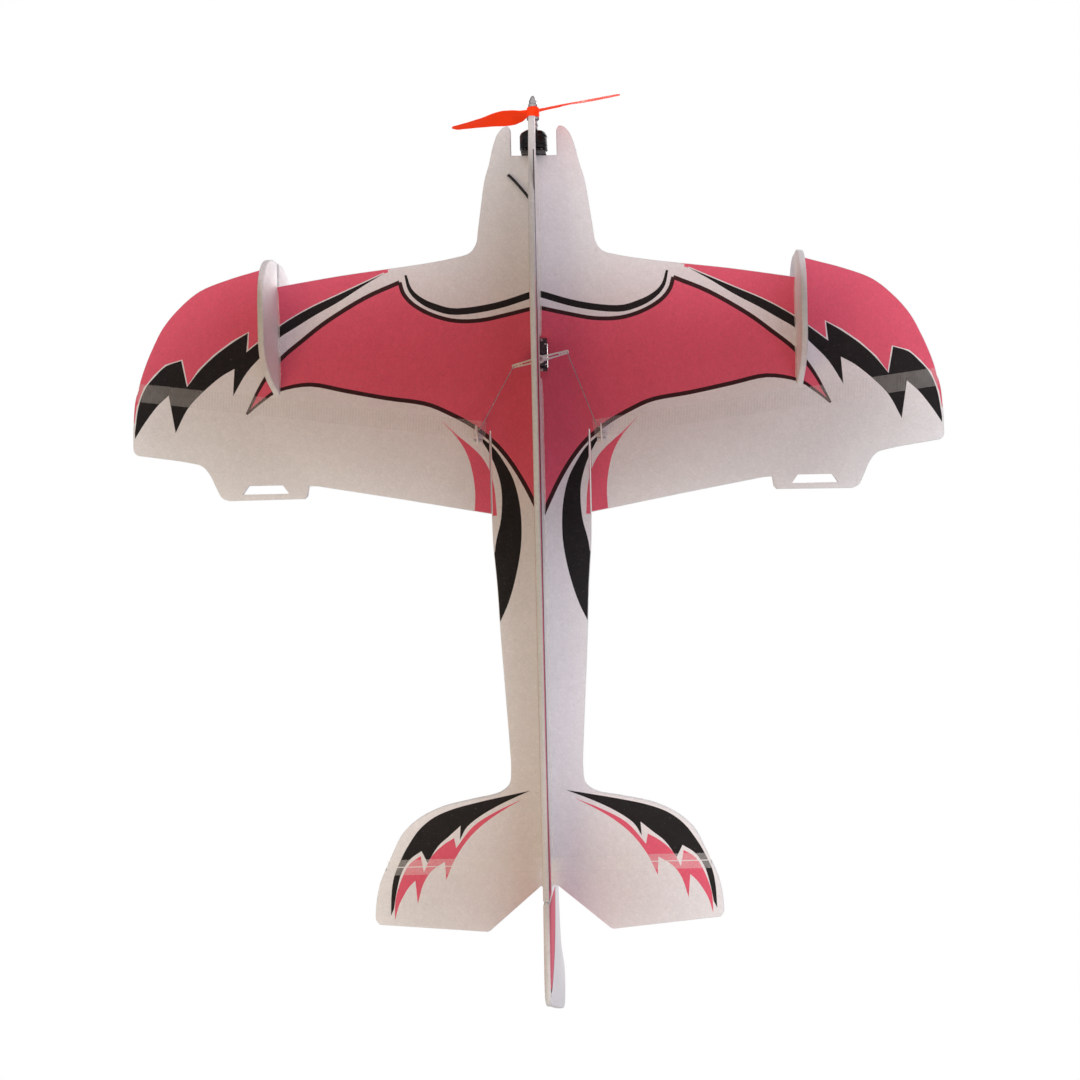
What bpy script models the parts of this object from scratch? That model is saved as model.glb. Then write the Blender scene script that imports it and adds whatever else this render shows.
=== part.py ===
"""Profile-type foam aerobatic model aeroplane with electric power and four moving control surfaces.

Lengths are millimetres in the code and metres in the scene. The nose points to -Y, the belly to -Z.
Code coordinates are (x, aft, up): x runs along the span, aft is measured from the trailing edge of
the wing root, and up is the height over the wing's middle plane. In object names, left is the -x
side and right is the +x side.
"""

import math

import bmesh
import bpy
from mathutils import Matrix, Vector

for old in list(bpy.data.objects):
    bpy.data.objects.remove(old)

# ------------------------------------------------------------------ driving dimensions
MM = 0.001
ROOT_TRAILING_Y = 150.0  # the scene's origin lies this far ahead of the root trailing edge
GROUND = 60.0  # height of the wing's middle plane over the ground

FOAM = 6.0  # sheet thickness
HALF = FOAM / 2
EDGE = 0.7  # softened edge of a cut sheet
GAP = 0.3  # clearance between glued neighbours
JOINT = HALF + GAP  # where a sheet that stands on another begins
THROUGH = 9.0  # half depth of a cutter that goes right through a sheet
CURVE_STEPS = 3  # pieces between two soft points of an outline

STRIP_UP = (1.8, 2.8)  # bottom and top of the flat carbon strips
SPAR_HALF_SPAN = 370.0
SPAR_AFT = (-183.6, -180.8)
JOINER_HALF_SPAN = 60.0
JOINER_AFT = (351.9, 354.7)

AILERON_HINGE_ROOT = (49.5, -82.5)  # x and aft of the hinge line's root end
AILERON_HINGE_SLOPE = -0.1303
AILERON_GAP = 0.4  # from the hinge line to the aileron's edge
AILERON_ROOT = 49.9
ELEVATOR_HINGE = 346.0
RUDDER_HINGE = 372.0
HINGE_GAP = 0.5  # fixed foam ends this far ahead of a tail hinge
SIDE_PLATE_X = 258.0
TAPE_THICK = 0.25
TAPE_TO_HINGE = 0.9  # tape ends this far ahead of a tail hinge

MOUNT_FACE = -354.0  # front of the middle of the wing plate
PROP_AFT = -397.0
PROP_RADIUS = 101.6  # 8 inch propeller
PROP_PITCH = 96.5  # 3.8 inch
PROP_TURN = 32.0  # degrees below the horizontal of the port blade at rest
BORE = 1.9  # bore radius of the parts round the motor shaft

SERVO_LENGTH = 23.0
SERVO_WIDTH = 12.0
SERVO_LUGS = 32.4  # length over the lugs
SERVO_LEAD = 5.5  # the case's middle lies this far ahead of the shaft
SERVO_CLEARANCE = 0.5
HUB_LOW = 10.2  # bottom of an arm's hub over the sheet's face
HUB_HEIGHT = 3.4
ARM_THICK = 1.6

AILERON_SHAFT = (3.0, -151.0, -HALF)  # output shaft of the aileron servo
AILERON_ARM = 27.0
AILERON_ARM_TURN = math.radians(14.0)  # as the arm is set on its spline
AILERON_ROD_UP = -16.6
AILERON_HORN_X = 61.0
AILERON_HORN_UP = -16.0
TAIL_ARM = 12.0  # radius of the elevator and rudder arms and horns
ELEVATOR_SERVO = (30.0, 22.0)  # aft and up of the shaft
RUDDER_SERVO = (-22.0, 24.0)

HORN_THICK = 1.4
HORN_FOOT = 9.0  # side of the square foot
HORN_FOOT_OFFSET = 0.35  # from the foam's face to the foot

DECK = HALF + 0.4  # underside of the parts on the wing plate

CENTRE = (0.0, 0.0, 0.0)
AFT = (0.0, 1.0, 0.0)
DOWN = (0.0, 0.0, -1.0)
SPIN = (0.0, PROP_AFT, 0.0)  # pivot of everything that turns with the propeller
ELEVATOR_PIVOT = (0.0, ELEVATOR_HINGE, 0.0)
RUDDER_PIVOT = (0.0, RUDDER_HINGE, 0.0)
SIDES = (("left", -1), ("right", 1))


def to_scene(x, aft, up):
    return Vector((x, aft + ROOT_TRAILING_Y, up + GROUND)) * MM


def aileron_hinge(x):
    return AILERON_HINGE_ROOT[1] + AILERON_HINGE_SLOPE * (abs(x) - AILERON_HINGE_ROOT[0])


def aileron_front(x):
    return aileron_hinge(x) + AILERON_GAP


def aileron_pivot(sign):
    return (sign * AILERON_ROOT, aileron_front(AILERON_ROOT), 0.0)


# ------------------------------------------------------------------ materials
def make_material(name, colour, roughness, metallic=0.0):
    made = bpy.data.materials.new(name)
    made.use_nodes = True
    shader = made.node_tree.nodes["Principled BSDF"]
    shader.inputs["Base Color"].default_value = (*colour, 1.0)
    shader.inputs["Roughness"].default_value = roughness
    shader.inputs["Metallic"].default_value = metallic
    made.diffuse_color = (*colour, 1.0)
    return made


WHITE_FOAM = make_material("white_foam", (0.80, 0.78, 0.80), roughness=0.75)
RED_FOAM = make_material("red_foam", (0.66, 0.10, 0.13), roughness=0.7)
CARBON = make_material("carbon", (0.03, 0.03, 0.035), roughness=0.35)
FIBRE_PLATE = make_material("fibre_plate", (0.70, 0.62, 0.42), roughness=0.5)
BLACK_METAL = make_material("black_anodised", (0.03, 0.03, 0.03), roughness=0.35, metallic=0.9)
STEEL = make_material("steel", (0.62, 0.62, 0.64), roughness=0.25, metallic=1.0)
ALUMINIUM = make_material("aluminium", (0.75, 0.75, 0.78), roughness=0.3, metallic=1.0)
ORANGE = make_material("orange_plastic", (0.90, 0.10, 0.02), roughness=0.35)
SERVO_PLASTIC = make_material("dark_servo_plastic", (0.04, 0.04, 0.06), roughness=0.35)
NYLON = make_material("white_nylon", (0.85, 0.84, 0.80), roughness=0.4)
SHRINK = make_material("heat_shrink", (0.05, 0.05, 0.06), roughness=0.45)
BATTERY_WRAP = make_material("battery_wrap", (0.10, 0.16, 0.40), roughness=0.35)
HOOK_PAD = make_material("hook_pad", (0.05, 0.05, 0.05), roughness=0.95)
WIRE = make_material("wire_insulation", (0.03, 0.03, 0.03), roughness=0.5)
TAPE = make_material("fibre_tape", (0.78, 0.78, 0.78), roughness=0.4)


# ------------------------------------------------------------------ solids
def finish(name, bm, material, pivot=None, smooth=False):
    """Turns a bmesh in code coordinates into an object whose origin is at its pivot."""
    origin = to_scene(*(pivot or CENTRE))
    for vert in bm.verts:
        vert.co = to_scene(*vert.co) - origin
    bmesh.ops.recalc_face_normals(bm, faces=bm.faces)
    mesh = bpy.data.meshes.new(name)
    bm.to_mesh(mesh)
    bm.free()
    mesh.materials.append(material)
    obj = bpy.data.objects.new(name, mesh)
    obj.location = origin
    bpy.context.scene.collection.objects.link(obj)
    if smooth:
        mesh.shade_smooth()
    return obj


def boolean(obj, helper, operation="DIFFERENCE"):
    """Cuts the helper from the object, or joins it on, and hides the helper."""
    helper.hide_render = True
    helper.display_type = "WIRE"
    modifier = obj.modifiers.new(helper.name, "BOOLEAN")
    modifier.operation = operation
    modifier.solver = "EXACT"
    modifier.object = helper


def box_mesh(low, high, bevel=0.0):
    bm = bmesh.new()
    for vert in bmesh.ops.create_cube(bm, size=1.0)["verts"]:
        for k in range(3):
            vert.co[k] = (low[k] + high[k]) / 2 + vert.co[k] * (high[k] - low[k])
    if bevel:
        bmesh.ops.bevel(
            bm, geom=list(bm.edges), offset=bevel, segments=2, profile=0.5, affect="EDGES"
        )
    return bm


def box(name, low, high, material=NYLON, bevel=0.0, pivot=None):
    return finish(name, box_mesh(low, high, bevel), material, pivot)


def cut_box(obj, name, low, high):
    boolean(obj, box(name, low, high))


def side_faces(bm, low, high):
    for k in range(len(low)):
        n = (k + 1) % len(low)
        bm.faces.new((low[k], low[n], high[n], high[k]))


def prism_mesh(low_points, high_points):
    """A solid between two matching flat polygons."""
    bm = bmesh.new()
    low = [bm.verts.new(point) for point in low_points]
    high = [bm.verts.new(point) for point in high_points]
    bm.faces.new(low)
    bm.faces.new(high)
    side_faces(bm, low, high)
    return bm


def loft_mesh(rings):
    """A closed skin over matching rings of points."""
    bm = bmesh.new()
    rings = [[bm.verts.new(point) for point in ring] for ring in rings]
    for low, high in zip(rings, rings[1:]):
        side_faces(bm, low, high)
    bm.faces.new(rings[0][::-1])
    bm.faces.new(rings[-1])
    return bm


def lathe(name, profile, material, centre=CENTRE, axis=AFT, pivot=None, steps=32):
    """Turns a closed (radius, along) profile about an axis through centre."""
    bm = bmesh.new()
    ring = [bm.verts.new((radius, 0.0, along)) for radius, along in profile]
    edges = [bm.edges.new((ring[i], ring[(i + 1) % len(ring)])) for i in range(len(ring))]
    bmesh.ops.spin(
        bm, geom=ring + edges, cent=(0, 0, 0), axis=(0, 0, 1), angle=math.tau, steps=steps,
        use_merge=True,
    )
    # Points on the axis fall together, and an edge along it carries no face.
    bmesh.ops.remove_doubles(bm, verts=bm.verts, dist=1e-5)
    bmesh.ops.dissolve_degenerate(bm, edges=bm.edges, dist=1e-5)
    loose = [edge for edge in bm.edges if not edge.link_faces]
    bmesh.ops.delete(bm, geom=loose, context="EDGES")
    turn = Vector((0, 0, 1)).rotation_difference(Vector(axis)).to_matrix().to_4x4()
    bmesh.ops.transform(bm, matrix=Matrix.Translation(centre) @ turn, verts=bm.verts)
    return finish(name, bm, material, pivot, smooth=True)


def cylinder(name, radius, low, high, material, **placing):
    profile = [(0.0, low), (radius, low), (radius, high), (0.0, high)]
    return lathe(name, profile, material, **placing)


def tube(name, path, radius, material, pivot=None, sides=8, flat=1.0):
    """A wire along a path. Its section is flat times wider sideways than it is high."""
    rings = []
    side = None
    for i, point in enumerate(path):
        here = Vector(point)
        back = Vector(path[max(i - 1, 0)])
        ahead = Vector(path[min(i + 1, len(path) - 1)])
        before = (here - back).normalized() if i else (ahead - here).normalized()
        after = (ahead - here).normalized() if i < len(path) - 1 else before
        along = (before + after).normalized()
        # A mitred ring is stretched across the bend, so that the wire keeps its thickness.
        stretch = 1.0 / max(0.5, along.dot(after))
        if side is None:
            side = along.cross(Vector((0, 0, 1)) if abs(along.z) < 0.9 else Vector((1, 0, 0)))
        side = (side - along * side.dot(along)).normalized()
        over = side.cross(along).normalized()
        ring = []
        for k in range(sides):
            turn = math.tau * (k + 0.5) / sides
            offset = side * math.cos(turn) * (radius * flat) + over * math.sin(turn) * radius
            across = before - after
            if across.length > 1e-4:
                across.normalize()
                offset += across * offset.dot(across) * (stretch - 1.0)
            ring.append(here + offset)
        rings.append(ring)
    return finish(name, loft_mesh(rings), material, pivot)


# ------------------------------------------------------------------ curves and outlines
# An outline point is (u, v, kind). A kind with c is a corner, s is a soft point that a curve
# passes through, and a kind with h starts a hinge edge.
def spans(knots):
    """Each span of a curve as four knots, with a ghost knot added past either end."""
    padded = [knots[0] * 2 - knots[1], *knots, knots[-1] * 2 - knots[-2]]
    return [padded[k - 1 : k + 3] for k in range(1, len(padded) - 2)]


def blend(first, last, start, end, time):
    return first * ((end - time) / (end - start)) + last * ((time - start) / (end - start))


def centripetal_point(knots, step):
    """A point of the centripetal Catmull-Rom curve between the middle two of four knots."""
    times = [0.0]
    for first, last in zip(knots, knots[1:]):
        times.append(times[-1] + max(1e-6, (last - first).length ** 0.5))
    time = times[1] + (times[2] - times[1]) * step / CURVE_STEPS
    lines = [blend(knots[k], knots[k + 1], times[k], times[k + 1], time) for k in range(3)]
    arcs = [blend(lines[k], lines[k + 1], times[k], times[k + 2], time) for k in range(2)]
    return blend(arcs[0], arcs[1], times[1], times[2], time)


def smooth_outline(points):
    """Curves each run of soft points. Gives (u, v, hinge) points in anticlockwise order."""
    count = len(points)
    corners = [i for i, point in enumerate(points) if "c" in point[2]]
    out = []
    for start, end in zip(corners, corners[1:] + [corners[0] + count]):
        run = [points[i % count] for i in range(start, end + 1)]
        if len(run) == 2:
            out.append((run[0][0], run[0][1], "h" in run[0][2]))
            continue
        for knots in spans([Vector(point[:2]) for point in run]):
            for step in range(CURVE_STEPS):
                point = centripetal_point(knots, step)
                out.append((point.x, point.y, False))
    if sum(a[0] * b[1] - b[0] * a[1] for a, b in zip(out, out[1:] + out[:1])) < 0:
        # A flag belongs to the edge that starts at its point, so it moves with the edge.
        turned = out[::-1]
        out = [(u, v, turned[(k + 1) % len(turned)][2]) for k, (u, v, _) in enumerate(turned)]
    return out


def inset(outline, plain, hinge):
    """The outline moved inwards, by one distance at plain edges and another at hinge edges."""
    moved = []
    for i, point in enumerate(outline):
        here = Vector(point[:2])
        back = here - Vector(outline[i - 1][:2])
        ahead = Vector(outline[(i + 1) % len(outline)][:2]) - here
        normal1 = Vector((-back.y, back.x)).normalized()
        normal2 = Vector((-ahead.y, ahead.x)).normalized()
        shift1 = hinge if outline[i - 1][2] else plain
        shift2 = hinge if point[2] else plain
        cross = normal1.x * normal2.y - normal1.y * normal2.x
        if abs(cross) < 0.05:
            # Nearly straight on: the two shifted edges have no reliable crossing.
            moved.append(here + (normal1 + normal2).normalized() * max(shift1, shift2))
        else:
            du = (shift1 * normal2.y - shift2 * normal1.y) / cross
            dv = (shift2 * normal1.x - shift1 * normal2.x) / cross
            moved.append(here + Vector((du, dv)))
    return moved


def sheet(name, points, material=WHITE_FOAM, upright=None, pivot=None):
    """A cut foam sheet: flat in (x, aft) at up = 0, or standing in (aft, up) at x = upright.

    Hinge edges are ground to a wedge on both sides.
    """
    outline = smooth_outline(points)
    # Columns: offset through the sheet, inset of plain edges, inset of hinge edges.
    levels = [(-HALF, EDGE, HALF), (-HALF + EDGE, 0.0, HALF - EDGE)]
    if any(point[2] for point in outline):
        levels.append((0.0, 0.0, 0.0))
    levels += [(HALF - EDGE, 0.0, HALF - EDGE), (HALF, EDGE, HALF)]
    rings = []
    for offset, plain, hinge in levels:
        ring = inset(outline, plain, hinge)
        if upright is None:
            rings.append([(q.x, q.y, offset) for q in ring])
        else:
            rings.append([(upright + offset, q.x, q.y) for q in ring])
    return finish(name, loft_mesh(rings), material, pivot)


def mirrored(points):
    """The other half of an outline, at -u and in reverse order."""
    out = []
    for i in range(len(points) - 1, -1, -1):
        u, v, kind = points[i]
        # The flag of an edge sits at its first point, which changes ends in the mirror.
        flag = "h" if i > 0 and "h" in points[i - 1][2] else ""
        out.append((-u, v, kind.replace("h", "") + flag))
    return out


def eased(*points, steps=5):
    """A path through the points, softened at each bend."""
    knots = [Vector(point) for point in points]
    out = []
    for a, b, c, d in spans(knots):
        for step in range(steps):
            t = step / steps
            square = (2 * a - 5 * b + 4 * c - d) * t * t
            cube = (3 * b - a - 3 * c + d) * t**3
            out.append(0.5 * (2 * b + (c - a) * t + square + cube))
    return [tuple(point) for point in [*out, knots[-1]]]


# ------------------------------------------------------------------ fixed foam
# (x, aft, kind), from the nose round the +x half to the root trailing edge
WING_HALF = [
    (22.5, MOUNT_FACE, "c"), (22.5, -379.0, "c"), (25.5, -383.0, "s"), (30.5, -381.5, "s"),
    (36.0, -375.0, "s"), (40.8, -362.0, "s"), (44.6, -346.0, "s"), (49.4, -330.0, "s"),
    (53.4, -305.0, "s"), (57.0, -280.0, "s"), (59.0, -268.0, "s"), (65.5, -259.0, "s"),
    (80.0, -254.5, "s"), (112.0, -249.0, "s"), (192.0, -239.0, "s"),
    (SIDE_PLATE_X - 2.0, -229.0, "c"), (SIDE_PLATE_X + 3.5, -249.0, "c"), (279.5, -244.0, "s"),
    (300.8, -238.0, "s"), (332.0, -226.0, "s"), (354.0, -208.0, "s"), (369.0, -190.0, "s"),
    (378.6, -172.0, "s"), (386.5, -154.0, "s"), (392.0, -138.0, "s"),
    (394.4, aileron_hinge(394.4), "c"), (48.6, aileron_hinge(48.6), "c"), (48.6, 0.0, "c"),
]
# (x, aft, kind), from the wing to the elevator hinge
REAR_HALF = [
    (49.2, GAP, "c"), (48.4, 30.0, "s"), (45.4, 70.0, "s"), (43.2, 115.0, "s"),
    (39.9, 170.0, "s"), (36.6, 225.0, "s"), (35.6, 252.0, "s"), (37.6, 266.0, "s"),
    (47.0, 274.0, "s"), (74.0, 280.0, "s"), (104.0, 287.0, "s"), (128.0, 298.5, "s"),
    (144.0, 313.0, "s"), (154.0, 332.0, "s"), (160.0, ELEVATOR_HINGE - HINGE_GAP, "c"),
]
TAIL_POST = RUDDER_HINGE - HINGE_GAP
# (aft, up, kind), aft along the joint with the wing plate and forward along the belly
LOWER = [
    (-389.0, -16.5, "c"), (-352.5, -16.5, "c"), (-352.5, -JOINT, "c"), (-174.5, -JOINT, "c"),
    (-174.5, -22.0, "c"), (-133.5, -22.0, "c"), (-133.5, -JOINT, "c"), (342.0, -JOINT, "c"),
    (342.0, -18.0, "c"), (TAIL_POST, -18.0, "c"), (TAIL_POST, -52.0, "c"), (310.0, -55.0, "s"),
    (220.0, -58.5, "s"), (130.0, -60.0, "c"), (-205.0, -60.0, "c"), (-262.0, -56.5, "s"),
    (-320.0, -47.0, "s"), (-365.0, -34.0, "s"), (-385.0, -27.0, "s"),
]
# (aft, up, kind), aft along the joint with the wing plate and forward along the back
UPPER = [
    (-389.0, 16.5, "c"), (-352.5, 16.5, "c"), (-352.5, JOINT, "c"), (-171.0, JOINT, "c"),
    (-171.0, 12.5, "c"), (-141.0, 12.5, "c"), (-141.0, JOINT, "c"), (342.0, JOINT, "c"),
    (342.0, 18.0, "c"), (TAIL_POST, 18.0, "c"), (TAIL_POST, 84.0, "c"), (352.0, 77.0, "s"),
    (316.0, 60.0, "s"), (262.0, 46.0, "s"), (170.0, 42.0, "s"), (70.0, 46.0, "s"),
    (-10.0, 58.0, "s"), (-70.0, 74.0, "s"), (-130.0, 85.0, "s"), (-185.0, 80.0, "s"),
    (-232.0, 63.0, "s"), (-268.0, 49.0, "s"), (-320.0, 41.0, "s"), (-365.0, 33.0, "s"),
    (-385.0, 26.0, "s"),
]
# (aft, up, kind) of an upper side plate
SIDE_PLATE = [
    (-253.0, JOINT, "c"), (-252.0, 22.0, "s"), (-244.0, 42.0, "s"), (-226.0, 56.0, "s"),
    (-206.0, 60.0, "c"), (-166.0, 60.0, "c"), (-152.0, 55.0, "s"), (-136.0, 36.0, "s"),
    (-122.0, JOINT, "c"),
]


def inlaid_strip(foam, name, cut_name, half_span, aft, pivot=None):
    """A flat carbon strip along the span, in a groove in the top of a foam sheet."""
    (front, back), (bottom, top) = aft, STRIP_UP
    groove_x = half_span + 2.0
    groove_low = (-groove_x, front - 0.4, bottom - 0.3)
    cut_box(foam, cut_name, groove_low, (groove_x, back + 0.4, 5.0))
    box(name, (-half_span, front, bottom), (half_span, back, top), CARBON, pivot=pivot)


def build_wing():
    wing = sheet("wing_plate", WING_HALF + mirrored(WING_HALF))
    bay_x = SERVO_WIDTH / 2 + 0.4
    shaft_x = AILERON_SHAFT[0]
    cut_box(wing, "cut_servo_bay",
            (shaft_x - bay_x, -168.2, -THROUGH), (shaft_x + bay_x, -144.2, THROUGH))
    inlaid_strip(wing, "wing_spar", "cut_spar_groove", SPAR_HALF_SPAN, SPAR_AFT)
    cut_box(wing, "cut_lead_slit", (-28.0, -337.0, -THROUGH), (-24.0, -331.0, THROUGH))


def build_fuselage():
    sheet("rear_fuselage_plate", REAR_HALF + mirrored(REAR_HALF))

    lower = sheet("lower_fuselage", LOWER, upright=0.0)
    cut_box(lower, "cut_stiffener", (2.3, -350.0, -49.2), (5.0, 364.0, -45.6))
    box("fuselage_stiffener", (2.4, -348.0, -48.9), (3.4, 362.0, -45.9), CARBON)

    upper = sheet("upper_fuselage", UPPER, upright=0.0)
    for name, (aft, up) in (("elevator", ELEVATOR_SERVO), ("rudder", RUDDER_SERVO)):
        middle = aft - SERVO_LEAD
        half_length = SERVO_LENGTH / 2 + SERVO_CLEARANCE
        half_width = SERVO_WIDTH / 2 + SERVO_CLEARANCE
        cut_box(upper, f"cut_{name}_servo",
                (-THROUGH, middle - half_length, up - half_width),
                (THROUGH, middle + half_length, up + half_width))


def build_side_plates():
    for side, sign in SIDES:
        for level, flip in (("upper", 1), ("lower", -1)):
            points = [(aft, up * flip, kind) for aft, up, kind in SIDE_PLATE]
            sheet(f"side_plate_{side}_{level}", points, upright=sign * SIDE_PLATE_X)


# ------------------------------------------------------------------ moving foam
# (x, aft, kind) of the +x aileron, from the root end of its hinge edge
AILERON = [
    (AILERON_ROOT, aileron_front(AILERON_ROOT), "ch"), (395.2, aileron_front(395.2), "c"),
    (397.8, -116.0, "s"), (399.6, -94.0, "s"), (400.0, -80.0, "s"), (399.4, -69.0, "s"),
    (396.0, -65.4, "c"), (346.0, -57.4, "s"), (333.0, -53.5, "s"), (325.5, -45.0, "s"),
    (319.5, -32.0, "s"), (314.0, -22.0, "s"), (308.0, -19.0, "c"), (233.0, -19.5, "c"),
    (230.0, -22.5, "c"), (228.5, -32.0, "c"), (221.0, -31.8, "c"), (143.0, -18.0, "s"),
    (AILERON_ROOT, -0.6, "c"),
]
# (x, aft) of the slot near the trailing edge of the +x aileron
TAB_SLOT = [(248.0, -25.0), (254.0, -33.5), (288.0, -33.5), (294.0, -25.0)]
# (x, aft, kind), from the +x end of the hinge to the notch in the middle
ELEVATOR_HALF = [
    (160.6, ELEVATOR_HINGE, "c"), (166.2, 359.0, "s"), (169.8, 373.0, "s"),
    (171.6, 387.0, "s"), (171.6, 397.0, "s"), (168.0, 402.0, "c"), (62.0, 411.5, "c"),
    (59.0, 410.0, "c"), (8.0, 367.0, "c"),
]
# (aft, up, kind), from the top of the hinge
RUDDER = [
    (RUDDER_HINGE, 84.0, "ch"), (RUDDER_HINGE, -52.0, "c"), (410.0, -56.0, "s"),
    (450.0, -57.0, "s"), (466.0, -52.0, "s"), (475.0, -38.0, "s"), (484.0, -10.0, "s"),
    (499.0, 35.0, "s"), (517.0, 90.0, "s"), (530.0, 135.0, "s"), (531.0, 152.0, "s"),
    (521.0, 163.0, "s"), (503.0, 164.0, "s"), (487.0, 154.0, "s"), (472.0, 134.0, "s"),
    (452.0, 110.0, "s"), (415.0, 94.0, "s"),
]


def build_ailerons():
    for side, sign in SIDES:
        points = AILERON if sign > 0 else mirrored(AILERON)
        aileron = sheet(f"aileron_{side}", points, RED_FOAM, pivot=aileron_pivot(sign))
        low, high = ([(sign * x, aft, up) for x, aft in TAB_SLOT] for up in (-8.0, 8.0))
        boolean(aileron, finish(f"cut_tab_slot_{side}", prism_mesh(low, high), NYLON))


def build_elevator():
    other_half = mirrored(ELEVATOR_HALF)
    # The closing edge, from the -x end back to the +x end, is the hinge.
    x, aft, _ = other_half[-1]
    other_half[-1] = (x, aft, "ch")
    elevator = sheet("elevator", ELEVATOR_HALF + other_half, RED_FOAM, pivot=ELEVATOR_PIVOT)
    inlaid_strip(elevator, "elevator_joiner", "cut_joiner", JOINER_HALF_SPAN, JOINER_AFT,
                 ELEVATOR_PIVOT)


def build_rudder():
    sheet("rudder", RUDDER, RED_FOAM, upright=0.0, pivot=RUDDER_PIVOT)


# ------------------------------------------------------------------ hinge tape
# (x, aft from the hinge line) of the tape ahead of the +x aileron
AILERON_TAPE = [(56.0, -9.0), (56.0, -0.4), (392.0, -0.4), (388.0, -9.0)]


def build_hinge_tape():
    """Tape on the fixed side of each hinge: under the wing and tailplane, and at -x of the fin."""
    bottom, top = -JOINT - TAPE_THICK, -JOINT
    for side, sign in SIDES:
        low, high = (
            [(sign * x, aileron_hinge(x) + aft, up) for x, aft in AILERON_TAPE]
            for up in (bottom, top)
        )
        finish(f"aileron_tape_{side}", prism_mesh(low, high), TAPE)
        start, end = sorted((sign * 5.0, sign * 150.0))
        box(f"elevator_tape_{side}", (start, 337.5, bottom),
            (end, ELEVATOR_HINGE - TAPE_TO_HINGE, top), TAPE)
    box("rudder_tape", (bottom, 363.5, 22.0), (top, RUDDER_HINGE - TAPE_TO_HINGE, 82.0), TAPE)


# ------------------------------------------------------------------ motor and propeller
# Profiles are (radius, along the thrust line). That of the base is measured from its back.
MOTOR_BASE_BACK = -356.6
MOTOR_BASE = [
    (BORE, 0.0), (11.2, 0.0), (11.2, -3.2), (8.0, -4.2), (8.0, -5.4), (11.4, -5.6),
    (11.4, -18.0), (BORE, -18.0),
]
MOTOR_BELL = [
    (12.4, -359.2), (13.6, -359.2), (13.8, -360.0), (13.8, -372.5), (12.6, -375.6),
    (9.0, -378.6), (4.0, -379.2), (BORE, -379.2), (BORE, -376.6), (11.0, -376.0),
    (12.0, -374.0), (12.4, -373.0),
]
PROP_ADAPTER = [
    (BORE, -379.8), (4.2, -379.8), (4.2, -388.0), (6.0, -389.5), (6.0, -391.8), (BORE, -391.8),
]
PROP_NUT = [
    (BORE, -402.0), (4.4, -402.0), (4.4, -404.5), (3.6, -405.2), (3.4, -407.5), (2.5, -410.8),
    (1.2, -412.8), (0.0, -413.4), (0.0, -406.0), (BORE, -406.0),
]
PROP_HUB = [
    (0.0, -392.2), (5.4, -392.2), (6.0, -392.9), (6.0, -400.9), (5.4, -401.6), (0.0, -401.6),
]
BLADE_STEPS = 18
BLADE_SIDES = 12
BLADE_ROOT = 2.5
BLADE_CAMBER = 0.045  # of the chord
BLADE_STEEPEST = math.radians(38.0)


def build_motor():
    box("motor_mount", (-15.0, -356.3, -13.0), (15.0, -354.4, 13.0), FIBRE_PLATE, bevel=0.4)
    lathe("motor_base", MOTOR_BASE, BLACK_METAL, centre=(0.0, MOTOR_BASE_BACK, 0.0))
    lathe("motor_bell", MOTOR_BELL, BLACK_METAL, pivot=SPIN)
    cylinder("motor_shaft", 1.5, -358.0, -405.0, STEEL, pivot=SPIN, steps=20)
    lathe("prop_adapter", PROP_ADAPTER, ALUMINIUM, pivot=SPIN, steps=28)
    lathe("prop_nut", PROP_NUT, ALUMINIUM, pivot=SPIN, steps=24)


def blade_ring(share):
    """The blade's section at a share of its length, turned to the propeller's pitch."""
    radius = BLADE_ROOT + (PROP_RADIUS - BLADE_ROOT) * share
    chord = 5.0
    if share < 0.995:
        chord = 8.0 + 15.0 * math.sin(math.pi * min(1.0, (share * 1.02) ** 0.75)) ** 0.9
    thick = 4.2 - 5.2 * share if share < 0.6 else 1.0
    slant = min(math.atan2(PROP_PITCH, math.tau * radius), BLADE_STEEPEST)
    ring = []
    for k in range(BLADE_SIDES):
        turn = math.tau * k / BLADE_SIDES
        along = math.cos(turn) * chord / 2  # positive towards the edge that is ahead
        camber = BLADE_CAMBER * chord * (1 - (2 * along / chord) ** 2)
        high = math.sin(turn) * thick / 2 + camber
        y = -along * math.sin(slant) - high * math.cos(slant)
        z = along * math.cos(slant) - high * math.sin(slant)
        ring.append((radius, y, z))
    return ring


def blade(name, degrees):
    """One blade, lofted along its radius and turned about the thrust line."""
    bm = loft_mesh([blade_ring(i / BLADE_STEPS) for i in range(BLADE_STEPS + 1)])
    spin = Matrix.Rotation(math.radians(degrees), 4, "Y")
    bmesh.ops.transform(bm, matrix=Matrix.Translation(SPIN) @ spin, verts=bm.verts)
    return finish(name, bm, ORANGE, SPIN, smooth=True)


def build_propeller():
    prop = lathe("propeller", PROP_HUB, ORANGE, pivot=SPIN, steps=28)
    boolean(prop, blade("blade_port", PROP_TURN), "UNION")
    boolean(prop, blade("blade_starboard", PROP_TURN + 180.0), "UNION")
    boolean(prop, cylinder("cut_prop_bore", BORE, -385.0, -410.0, STEEL, pivot=SPIN, steps=20))


# ------------------------------------------------------------------ servos, arms and horns
def servo_frame(shaft, out):
    """Maps a servo's own (across, aft, out) to code coordinates.

    Across is out x aft: +x for a shaft that points down, up for one to +x, down for one to -x.
    """
    out = Vector(out)
    aft = Vector(AFT)
    turn = Matrix((out.cross(aft), aft, out)).transposed().to_4x4()
    return Matrix.Translation(Vector(shaft)) @ turn


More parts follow.
